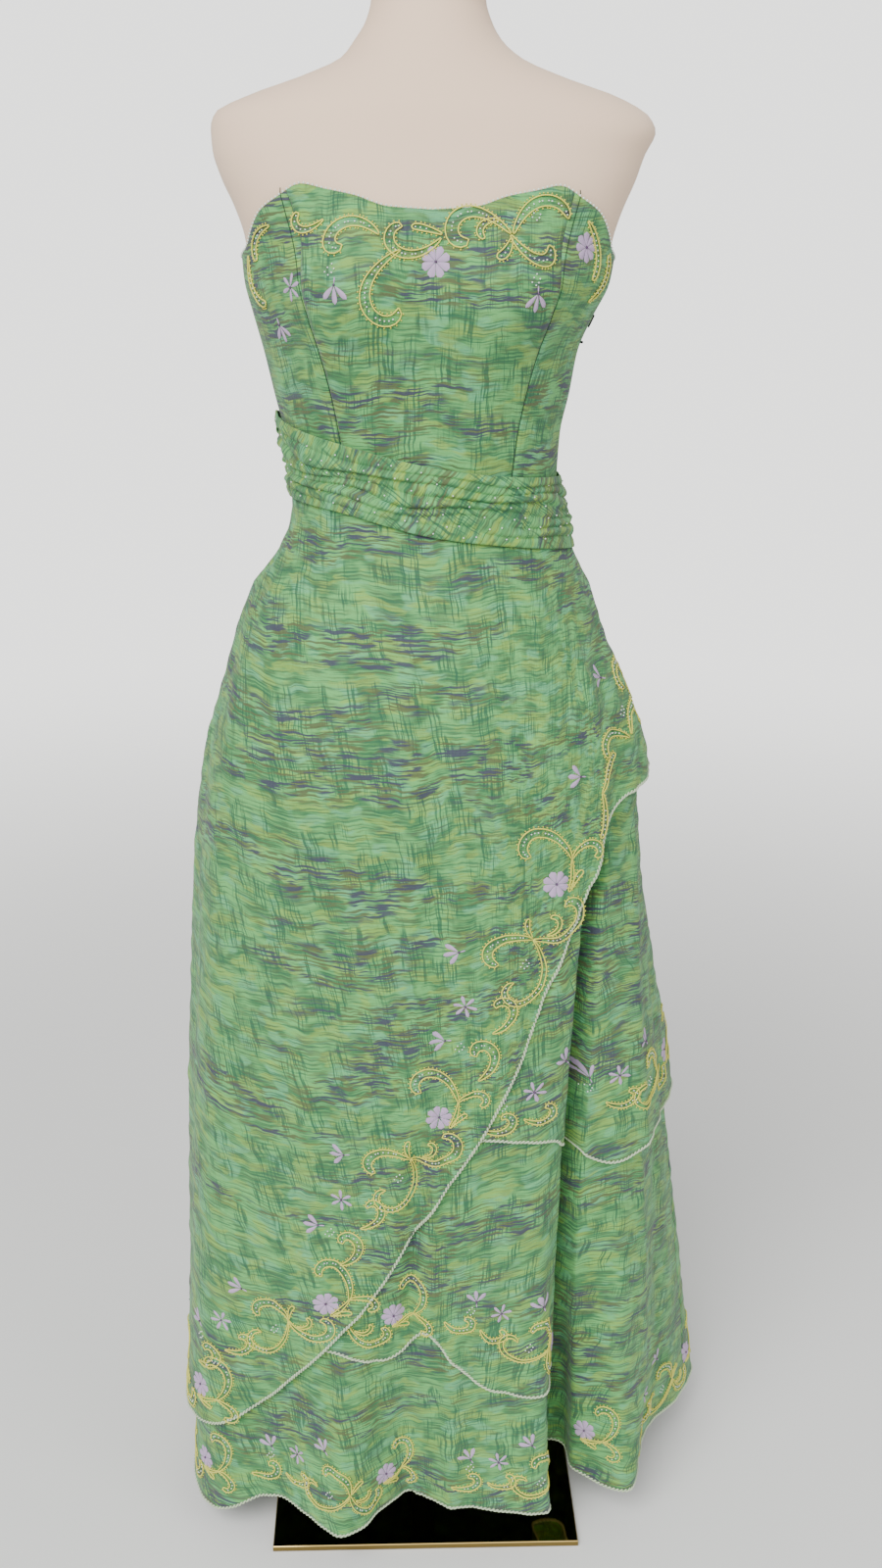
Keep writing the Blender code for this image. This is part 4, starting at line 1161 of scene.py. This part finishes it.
def jersey_material():
    """Matt jersey of the form: a faint grain on object coordinates."""
    material = plain_material("Form jersey", COLOURS["jersey"], 0.9, sheen=0.15)
    tree = material.node_tree
    place = node_in(tree, "ShaderNodeTexCoord").outputs["Object"]
    grain = node_in(tree, "ShaderNodeTexNoise", {"Vector": place, "Scale": 1400.0, "Detail": 1.0})
    bump_into(material, grain.outputs[0], 0.0001, 0.25)
    return material


def floor_material():
    """Pale floor that melts into the backdrop away from the stand."""
    material = plain_material("Floor", COLOURS["floor"], 0.85)
    tree = material.node_tree
    place = node_in(tree, "ShaderNodeTexCoord").outputs["Object"]
    distance = node_in(tree, "ShaderNodeVectorMath", {0: place}, operation="LENGTH").outputs["Value"]
    fade = step_in(tree, distance, 3.6, 0.9)
    tree.links.new(fade, tree.nodes["Principled BSDF"].inputs["Alpha"])
    return material


def aim_light(context, data, place):
    """Light at a place, aimed at the middle of the gown."""
    light = bpy.data.objects.new(data.name, data)
    context.scene.collection.objects.link(light)
    aim = np.array([0.0, 0.0, 0.75]) - np.array(place)
    aim = aim / np.linalg.norm(aim)
    right = np.cross(aim, (0.0, 0.0, 1.0))
    right = right / np.linalg.norm(right)
    up = np.cross(right, aim)
    light.matrix_world = Matrix([(right[k], up[k], -aim[k], place[k]) for k in range(3)] + [(0.0, 0.0, 0.0, 1.0)])


def shared(name, build):
    """Material or node group of that name, made once."""
    kept = bpy.data.materials.get(name) or bpy.data.node_groups.get(name)
    return kept or build()


def cloth_material():
    """Gauze of the bodice and the skirts."""
    group = shared("Crinkled gauze", gauze_group)
    return shared("Gown gauze", lambda: gauze_material("Gown gauze", group, 1.0, 0.7, 0.0006))


def sash_material():
    """The same gauze, browner, on the bias."""
    group = shared("Crinkled gauze", gauze_group)
    return shared("Sash gauze", lambda: gauze_material("Sash gauze", group, 0.8, 1.0, 0.0006))


def yellow_thread():
    """Pale yellow thread of the outlines."""
    group = shared("Thread twist", twist_group)
    return shared("Yellow thread", lambda: thread_material("Yellow thread", group, COLOURS["thread"], 0.0016, 0.6))


def hem_cord():
    """Pale green cord of the hems."""
    group = shared("Thread twist", twist_group)
    return shared("Hem cord", lambda: thread_material("Hem cord", group, COLOURS["cord"], 0.0020, 0.6))


def lilac_thread():
    """Satin stitch of the petals: ribs along each petal."""
    group = shared("Thread twist", twist_group)
    return shared("Lilac thread", lambda: thread_material("Lilac thread", group, COLOURS["lilac"], 0.0007, 0.45))


def bead_material():
    """Small clear beads."""
    return shared("Clear beads", lambda: plain_material("Clear beads", COLOURS["bead"], 0.12, coat=1.0))


class GownCloth(bpy.types.PropertyGroup):
    """Fineness of the cloth."""

    cell: bpy.props.FloatProperty(
        name="Cell", description="Size of a cell of the front's cloth", default=0.0049, min=0.002, max=0.05,
        unit="LENGTH", subtype="DISTANCE",
    )
    back_cell: bpy.props.FloatProperty(
        name="Back cell", description="Size of a cell of the back's cloth", default=0.0064, min=0.002, max=0.05,
        unit="LENGTH", subtype="DISTANCE",
    )
    sash_cell: bpy.props.FloatProperty(
        name="Sash cell", description="Size of a cell of the sash", default=0.0034, min=0.002, max=0.05,
        unit="LENGTH", subtype="DISTANCE",
    )


class GownSewing(bpy.types.PropertyGroup):
    """Fineness of the sewing."""

    samples: bpy.props.IntProperty(
        name="Samples", description="Points along each side of a scroll", default=26, min=8, max=200
    )
    cord: bpy.props.FloatProperty(
        name="Cord", description="Radius of one strand of the hem cord", default=0.0009, min=0.0002, max=0.003,
        unit="LENGTH", subtype="DISTANCE",
    )
    cord_pitch: bpy.props.FloatProperty(
        name="Cord pitch", description="Length of one twist of the hem cord", default=0.0080, min=0.002, max=0.03,
        unit="LENGTH", subtype="DISTANCE",
    )


class GownStage(bpy.types.PropertyGroup):
    """Light of the studio."""

    key: bpy.props.FloatProperty(
        name="Key", description="Power of the key light", default=34.0, min=0.0, max=1000.0, unit="POWER"
    )
    fill: bpy.props.FloatProperty(
        name="Fill", description="Power of the fill light", default=12.0, min=0.0, max=1000.0, unit="POWER"
    )
    sun: bpy.props.FloatProperty(
        name="Sun", description="Strength of the broad soft light from above", default=2.2, min=0.0, max=100.0
    )
    sky: bpy.props.FloatProperty(
        name="Sky", description="Strength of the light from all round", default=0.60, min=0.0, max=10.0
    )
    backdrop: bpy.props.FloatProperty(
        name="Backdrop", description="Brightness of the pale backdrop", default=2.1, min=0.0, max=10.0
    )


def sheet_of(node):
    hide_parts(node)


class GOWN_OT_stand(bpy.types.Operator):
    """Give the base plate, the pole and its fittings their polish"""

    bl_idname = "gown.stand"
    bl_label = "Stand"

    def execute(self, context):
        gold = plain_material("Polished gold", COLOURS["gold"], 0.06, metallic=1.0)
        steel = plain_material("Pole steel", COLOURS["steel"], 0.28, metallic=1.0)
        for name, material in (("base_plate", gold), ("pole_flange", steel), ("pole", steel), ("pole_socket", steel)):
            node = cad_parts[name]
            if not node.material_slots:
                node.data.materials.append(material)
            for slot in node.material_slots:
                slot.material = material
        return {"FINISHED"}


class GOWN_OT_form(bpy.types.Operator):
    """Build the dress form's smooth jersey body"""

    bl_idname = "gown.form"
    bl_label = "Dress form"

    def execute(self, context):
        levels = np.concatenate([[FORM_BOTTOM], np.linspace(FORM_BOTTOM + 0.0008, 1.4512, 150), [1.452]])
        turns = np.arange(120) * 3.0
        grid_turns, heights = np.meshgrid(turns, levels)
        lift = curve_through(FORM_LIFT, heights)
        lift = lift - 0.0008 * ((heights < FORM_BOTTOM + 0.0004) | (heights > 1.4516))
        points, _ = lifted(FORM_RINGS, grid_turns, heights, lift, folded=False)
        index = np.arange(points.shape[0] * points.shape[1]).reshape(points.shape[:2])
        ahead = np.roll(index, -1, axis=1)
        sides = np.stack([index[:-1], ahead[:-1], ahead[1:], index[1:]], axis=-1).reshape(-1, 4)
        faces = sides.tolist() + [index[0, ::-1].tolist(), index[-1].tolist()]
        mesh = bpy.data.meshes.new("dress_form_body")
        mesh.from_pydata(points.reshape(-1, 3).tolist(), [], faces)
        mesh.shade_smooth()
        mesh.set_sharp_from_angle(angle=math.radians(50.0))
        mesh.materials.append(jersey_material())
        body = bpy.data.objects.new("dress_form_body", mesh)
        context.scene.collection.objects.link(body)
        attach(body, "root")
        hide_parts("dress_form")
        return {"FINISHED"}


class GOWN_OT_bodice(bpy.types.Operator):
    """Build the bodice's four panels between their seams"""

    bl_idname = "gown.bodice"
    bl_label = "Bodice"

    def execute(self, context):
        settings = context.scene.gown_cloth
        cloth = cloth_material()

        def level(turn):
            return lambda height: turn + 0.0 * height

        def right_princess(height):
            return -princess_turn(height)

        rows = (
            ("bodice_centre_front", right_princess, princess_turn, settings.cell, (3.10, 0.0), (0.225, 0.232), 0.0455),
            ("bodice_side_front_left", princess_turn, level(SIDE), settings.cell, (3.60, 0.05), (0.105, 0.225), 0.0213),
            ("bodice_side_front_right", level(-SIDE), right_princess, settings.cell, (2.60, 0.04), (0.105, 0.215), 0.0213),
            ("bodice_back", level(SIDE), level(FAR_SIDE), settings.back_cell, (5.20, 0.02), (0.385, 0.190), 0.0640),
        )
        for node, right_edge, left_edge, cell, shift, flat, area in rows:
            piece = bodice_panel(node + "_cloth", right_edge, left_edge, cell, cloth, shift)
            sheet_of(node)
        return {"FINISHED"}


class GOWN_OT_sash(bpy.types.Operator):
    """Build the gathered sash, front and back"""

    bl_idname = "gown.sash"
    bl_label = "Sash"

    def execute(self, context):
        settings = context.scene.gown_cloth
        for node, start, end, shift in (("sash_front", -SIDE, SIDE, (8.0, 2.0)), ("sash_back", SIDE, FAR_SIDE, (9.0, 4.0))):
            piece = sash_piece(node + "_cloth", start, end, settings.sash_cell, sash_material(), shift)
            sheet_of(node)
        return {"FINISHED"}


class GOWN_OT_overlay(bpy.types.Operator):
    """Build the overlay with its slanting hem, front and back"""

    bl_idname = "gown.overlay"
    bl_label = "Overlay"

    def execute(self, context):
        settings = context.scene.gown_cloth
        rows = (
            ("overlay_front", -SIDE, SIDE, settings.cell, (0.0, 0.0), (0.640, 0.930), 0.330),
            ("overlay_back", SIDE, FAR_SIDE, settings.back_cell, (1.3, 0.1), (0.680, 0.930), 0.350),
        )
        for node, start, end, cell, shift, flat, area in rows:
            piece = skirt_piece(
                node + "_cloth", "overlay", start, end, skirt_top, overlay_hem, cell, 0.0, cloth_material(), shift
            )
            sheet_of(node)
        return {"FINISHED"}


class GOWN_OT_middle_tier(bpy.types.Operator):
    """Build the middle tier, front and back"""

    bl_idname = "gown.middle_tier"
    bl_label = "Middle tier"

    def execute(self, context):
        settings = context.scene.gown_cloth

        def top(turn):
            return MIDDLE_TOP + 0.0 * turn

        rows = (
            ("middle_tier_front", MIDDLE_START, SIDE, settings.cell, (6.1, 0.3), (0.400, 0.375), 0.1350),
            ("middle_tier_back", SIDE, 180.0 - MIDDLE_START, settings.back_cell, (6.9, 0.1), (0.440, 0.375), 0.1500),
        )
        for node, start, end, cell, shift, flat, area in rows:
            piece = skirt_piece(
                node + "_cloth", "middle_tier", start, end, top, middle_hem, cell, 0.0, cloth_material(), shift
            )
            sheet_of(node)
        return {"FINISHED"}


class GOWN_OT_front_flounce(bpy.types.Operator):
    """Build the front flounce"""

    bl_idname = "gown.front_flounce"
    bl_label = "Front flounce"

    def execute(self, context):
        settings = context.scene.gown_cloth

        def top(turn):
            return FLOUNCE_TOP + 0.0 * turn

        piece = skirt_piece(
            "front_flounce_cloth", "front_flounce", FLOUNCE_START, FLOUNCE_END, top, flounce_hem, settings.cell, 0.0,
            cloth_material(), (7.7, 0.2),
        )
        sheet_of("front_flounce")
        return {"FINISHED"}


class GOWN_OT_underskirt(bpy.types.Operator):
    """Build the full-length underskirt, front and back"""

    bl_idname = "gown.underskirt"
    bl_label = "Underskirt"

    def execute(self, context):
        settings = context.scene.gown_cloth
        rows = (
            ("underskirt_front", -SIDE, SIDE, settings.cell, (10.2, 0.4), (0.740, 1.000), 0.530),
            ("underskirt_back", SIDE, FAR_SIDE, settings.back_cell, (12.1, 0.2), (0.780, 1.000), 0.570),
        )
        for node, start, end, cell, shift, flat, area in rows:
            piece = skirt_piece(
                node + "_cloth", "underskirt", start, end, skirt_top, underskirt_hem, cell, 0.5, cloth_material(), shift
            )
            sheet_of(node)
        return {"FINISHED"}


def edge_cord(name, layer, start, end, hem, settings, material):
    """Cord of two twisted strands along a hem, from a helix of each strand round the edge."""
    turns, arc = level_arc(start, end, float(np.mean(hem(np.linspace(start, end, 50)))))
    rough_points, _ = cloth_point(layer, turns, hem(turns), -CLOTH / 2.0)
    steps = np.linalg.norm(np.diff(rough_points, axis=0), axis=-1)
    arc = np.concatenate([[0.0], np.cumsum(steps)])
    count = int(arc[-1] / (settings.cord_pitch / 7.0))
    columns = np.interp(np.linspace(0.0, arc[-1], count), arc, turns)
    line, ups = cloth_point(layer, columns, hem(columns), -CLOTH / 2.0)
    length = np.linspace(0.0, arc[-1], count)
    along = np.gradient(line, axis=0)
    along = along / np.linalg.norm(along, axis=-1, keepdims=True)
    beside = np.cross(along, ups)
    strands, strand_ups = [], []
    for phase in (0.0, math.pi):
        angle = 2.0 * math.pi * length / settings.cord_pitch + phase
        shift = settings.cord * 1.05 * (np.cos(angle)[:, None] * beside + np.sin(angle)[:, None] * ups)
        strands.append(line + shift)
        strand_ups.append(ups)
    strands = np.array(strands)
    points = tube_points(strands, np.array(strand_ups), settings.cord, 5)
    uv = tube_uv(strands, 5)
    return new_piece(name, points, tube_faces(2, count, 5, False), material, uv)


class GOWN_OT_hem_cords(bpy.types.Operator):
    """Lay the twisted pale cord along every hem"""

    bl_idname = "gown.hem_cords"
    bl_label = "Hem cords"

    def execute(self, context):
        settings = context.scene.gown_sewing
        rows = (
            ("overlay_cord", "overlay", -SIDE, FAR_SIDE, overlay_hem),
            ("middle_tier_cord", "middle_tier", MIDDLE_START, 180.0 - MIDDLE_START, middle_hem),
            ("front_flounce_cord", "front_flounce", FLOUNCE_START, FLOUNCE_END, flounce_hem),
            ("underskirt_cord", "underskirt", -SIDE, FAR_SIDE, underskirt_hem),
        )
        for name, layer, start, end, hem in rows:
            edge_cord(name, layer, start, end, hem, settings, hem_cord())
        return {"FINISHED"}


class GOWN_OT_neckline_beads(bpy.types.Operator):
    """Set the small pale beads along the neckline"""

    bl_idname = "gown.neckline_beads"
    bl_label = "Neckline beads"

    def execute(self, context):
        turns = np.linspace(-180.0, 180.0, 1441)
        line, _ = cloth_point("bodice", turns, neckline(turns), -BODICE_CLOTH / 2.0)
        arc = np.concatenate([[0.0], np.cumsum(np.linalg.norm(np.diff(line, axis=0), axis=-1))])
        places = np.interp(np.arange(0.0, arc[-1] - 0.003, 0.0038), arc, turns)
        spots, ups = cloth_point("bodice", places, neckline(places) + 0.0006, 0.0)
        points, faces = blob_arrays(spots, ups, 0.0011, True)
        new_piece("neckline_beads", points, faces, bead_material())
        return {"FINISHED"}


class GOWN_OT_seams(bpy.types.Operator):
    """Draw thin dark tubes along the princess seams and the side seams, painted shade of the seam lines"""

    bl_idname = "gown.seams"
    bl_label = "Seams"

    def execute(self, context):
        share = np.linspace(0.0, 1.0, 90)
        lines, ups = [], []
        for seam in (princess_turn, lambda height: -princess_turn(height), lambda height: SIDE + 0.0 * height,
                     lambda height: -SIDE + 0.0 * height):
            top = float(neckline(seam(np.array(1.25))))
            heights = top + (WAIST_HEIGHT - top) * share
            turns = seam(heights)
            line, up = cloth_point("bodice", turns, heights, -0.0001)
            lines.append(line)
            ups.append(up)
        points = tube_points(np.array(lines), np.array(ups), SEAM_SHADE_RADIUS, 5)
        # painted shade: these dark tubes stand for the shadow in each seam line, not for a sewing thread
        dark = shared("Seam shadow", lambda: plain_material("Seam shadow", COLOURS["seam"], 0.9))
        new_piece("bodice_seam_shade", points, tube_faces(len(lines), len(share), 5, False), dark)
        return {"FINISHED"}


class GOWN_OT_embroidery(bpy.types.Operator):
    """Embroider the scrolls, flowers and beads on every layer"""

    bl_idname = "gown.embroidery"
    bl_label = "Embroidery"

    def execute(self, context):
        settings = context.scene.gown_sewing
        rows = (
            ("bodice", BODICE_SCROLLS, (), BODICE_FLOWERS, (False,)),
            ("overlay", HIP_SCROLLS, OVERLAY_BORDER, HIP_FLOWERS, (False, True)),
            ("middle_tier", (), MIDDLE_BORDER, (), (False,)),
            ("front_flounce", (), FLOUNCE_BORDER, (), (False,)),
            ("underskirt", (), UNDERSKIRT_BORDER, (), (False,)),
        )
        for layer, scrolls, repeats, flowers, mirrors in rows:
            sets = scroll_rows(layer, scrolls, repeats)
            threads, ups, knots, knot_ups, beads, bead_ups = scroll_pieces(layer, sets, mirrors, settings.samples)
            points = tube_points(threads, ups, THREAD, 4)
            faces = tube_faces(len(threads), threads.shape[1], 4, True)
            new_piece(layer + "_scrolls", points, faces, yellow_thread(), tube_uv(threads, 4))
            points, faces = blob_arrays(knots, knot_ups, PICOT, False)
            new_piece(layer + "_knots", points, faces, yellow_thread(), np.zeros((len(points), 2)))
            found = flower_sets(flowers, repeats)
            petals, uvs, more_beads, centres = flower_pieces(layer, found, mirrors)
            shape = petals[0].shape[:2]
            index = np.arange(shape[0] * shape[1]).reshape(shape)
            quads = np.stack([index[:-1, :-1], index[:-1, 1:], index[1:, 1:], index[1:, :-1]], axis=-1).reshape(-1, 4)
            shift = np.arange(len(petals))[:, None, None] * shape[0] * shape[1]
            new_piece(layer + "_petals", np.array(petals), (quads[None] + shift).reshape(-1, 4), lilac_thread(), np.array(uvs))
            spots = np.concatenate([beads] + more_beads)
            points, faces = blob_arrays(spots, spots, BEAD, True)
            new_piece(layer + "_beads", points, faces, bead_material())
            spots = np.concatenate(centres)
            points, faces = blob_arrays(spots, spots, 0.0011, True)
            dark = shared("Dark thread", lambda: plain_material("Dark thread", COLOURS["lilac_dark"], 0.7))
            new_piece(layer + "_centres", points, faces, dark)
        return {"FINISHED"}


class GOWN_OT_sash_beads(bpy.types.Operator):
    """Scatter small clear beads over the sash"""

    bl_idname = "gown.sash_beads"
    bl_label = "Sash beads"

    def execute(self, context):
        count = np.arange(150)
        turns = -90.0 + 360.0 * ((count * 0.6180339887 + 0.13) % 1.0)
        share = 0.06 + 0.88 * ((count * 0.7548776662 + 0.41) % 1.0)
        front = to_front(turns)
        top = curve_through([(row[0], row[1]) for row in SASH_EDGES], front)
        bottom = curve_through([(row[0], row[2]) for row in SASH_EDGES], front)
        spots, ups = cloth_point("sash", turns, top + (bottom - top) * share, BEAD * 0.6)
        points, faces = blob_arrays(spots, ups, BEAD, True)
        new_piece("sash_beads", points, faces, bead_material())
        return {"FINISHED"}


class GOWN_OT_side_closure(bpy.types.Operator):
    """Show the closed side zip's small pull and its bead at the wearer's left"""

    bl_idname = "gown.side_closure"
    bl_label = "Side closure"

    def execute(self, context):
        heights = np.linspace(1.180, 1.170, 6)
        line, ups = cloth_point("bodice", np.full(6, 89.6), heights, 0.0016)
        dark = shared("Dark metal", lambda: plain_material("Dark metal", COLOURS["dark"], 0.4, metallic=0.6))
        points = tube_points(line[None], ups[None], 0.0008, 6)
        new_piece("zip_pull", points, tube_faces(1, 6, 6, False), dark)
        spot, way = cloth_point("bodice", np.array([82.0]), np.array([1.158]), 0.0010)
        points, faces = blob_arrays(spot, way, 0.0014, True)
        new_piece("zip_bead", points, faces, dark)
        return {"FINISHED"}


class GOWN_OT_studio(bpy.types.Operator):
    """Set the floor, the soft light and the camera"""

    bl_idname = "gown.studio"
    bl_label = "Studio"

    def execute(self, context):
        settings = context.scene.gown_stage
        scene = context.scene
        reach = 14.0
        mesh = bpy.data.meshes.new("floor")
        corners = [(-reach, -reach, -0.0003), (reach, -reach, -0.0003), (reach, reach, -0.0003), (-reach, reach, -0.0003)]
        mesh.from_pydata(corners, [], [(0, 1, 2, 3)])
        mesh.materials.append(floor_material())
        floor = bpy.data.objects.new("floor", mesh)
        scene.collection.objects.link(floor)

        world = scene.world or bpy.data.worlds.new("Studio")
        scene.world = world
        world.use_nodes = True
        tree = world.node_tree
        sky = tree.nodes["Background"]
        sky.inputs["Color"].default_value = (1.0, 1.0, 0.99, 1.0)
        sky.inputs["Strength"].default_value = settings.sky
        pale = node_in(tree, "ShaderNodeBackground", {"Color": (1.0, 1.0, 0.98, 1.0), "Strength": settings.backdrop})
        ray = node_in(tree, "ShaderNodeLightPath")
        mix = node_in(tree, "ShaderNodeMixShader", {0: ray.outputs["Is Camera Ray"]})
        tree.links.new(sky.outputs[0], mix.inputs[1])
        tree.links.new(pale.outputs[0], mix.inputs[2])
        tree.links.new(mix.outputs[0], tree.nodes["World Output"].inputs["Surface"])
        sun = bpy.data.lights.new("soft_sun", "SUN")
        sun.energy = settings.sun
        sun.angle = math.radians(50.0)
        aim_light(context, sun, (-1.0, -2.2, 2.9))

        lights = (
            ("key_light", settings.key, (-0.8, -1.9, 2.3), 1.3),
            ("fill_light", settings.fill, (1.5, -1.5, 2.1), 1.3),
        )
        for name, power, place, size in lights:
            data = bpy.data.lights.new(name, "AREA")
            data.energy = power
            data.shape = "DISK"
            data.size = size
            aim_light(context, data, place)

        down = math.radians(CAMERA_DOWN)
        turn = math.radians(CAMERA_TURN)
        roll = math.radians(CAMERA_ROLL)
        aim = np.array([math.sin(turn) * math.cos(down), math.cos(turn) * math.cos(down), -math.sin(down)])
        level = np.array([math.cos(turn), -math.sin(turn), 0.0])
        upright = np.cross(level, aim)
        right = level * math.cos(roll) + upright * math.sin(roll)
        up = upright * math.cos(roll) - level * math.sin(roll)
        data = bpy.data.cameras.new("camera")
        data.lens = CAMERA_LENS
        data.sensor_width = CAMERA_LENS
        camera = bpy.data.objects.new("camera", data)
        scene.collection.objects.link(camera)
        camera.matrix_world = Matrix(
            [(right[k], up[k], -aim[k], CAMERA_PLACE[k]) for k in range(3)] + [(0.0, 0.0, 0.0, 1.0)]
        )
        scene.camera = camera
        return {"FINISHED"}


class GOWN_PT_panel(bpy.types.Panel):
    """Settings and steps of the gown in the 3D view's sidebar"""

    bl_idname = "GOWN_PT_panel"
    bl_label = "Gown"
    bl_space_type = "VIEW_3D"
    bl_region_type = "UI"
    bl_category = "Gown"

    def draw(self, context):
        layout = self.layout
        for group, names in (
            (context.scene.gown_cloth, ("cell", "back_cell", "sash_cell")),
            (context.scene.gown_sewing, ("samples", "cord", "cord_pitch")),
            (context.scene.gown_stage, ("key", "fill", "sun", "sky", "backdrop")),
        ):
            for name in names:
                layout.prop(group, name)
        for operator in OPERATORS:
            layout.operator(operator.bl_idname)


OPERATORS = (
    GOWN_OT_stand,
    GOWN_OT_form,
    GOWN_OT_underskirt,
    GOWN_OT_front_flounce,
    GOWN_OT_middle_tier,
    GOWN_OT_overlay,
    GOWN_OT_bodice,
    GOWN_OT_sash,
    GOWN_OT_hem_cords,
    GOWN_OT_neckline_beads,
    GOWN_OT_seams,
    GOWN_OT_embroidery,
    GOWN_OT_sash_beads,
    GOWN_OT_side_closure,
    GOWN_OT_studio,
)
SETTINGS = (GownCloth, GownSewing, GownStage)


def register():
    """Register the settings, the operators and the panel."""
    for kind in SETTINGS + OPERATORS + (GOWN_PT_panel,):
        bpy.utils.register_class(kind)
    bpy.types.Scene.gown_cloth = bpy.props.PointerProperty(type=GownCloth)
    bpy.types.Scene.gown_sewing = bpy.props.PointerProperty(type=GownSewing)
    bpy.types.Scene.gown_stage = bpy.props.PointerProperty(type=GownStage)


def unregister():
    """Take all of it away again."""
    del bpy.types.Scene.gown_stage
    del bpy.types.Scene.gown_sewing
    del bpy.types.Scene.gown_cloth
    for kind in reversed(SETTINGS + OPERATORS + (GOWN_PT_panel,)):
        bpy.utils.unregister_class(kind)


def main():
    """Register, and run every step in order."""
    register()
    for operator in OPERATORS:
        family, name = operator.bl_idname.split(".")
        getattr(getattr(bpy.ops, family), name)()


if __name__ == "__main__":
    main()
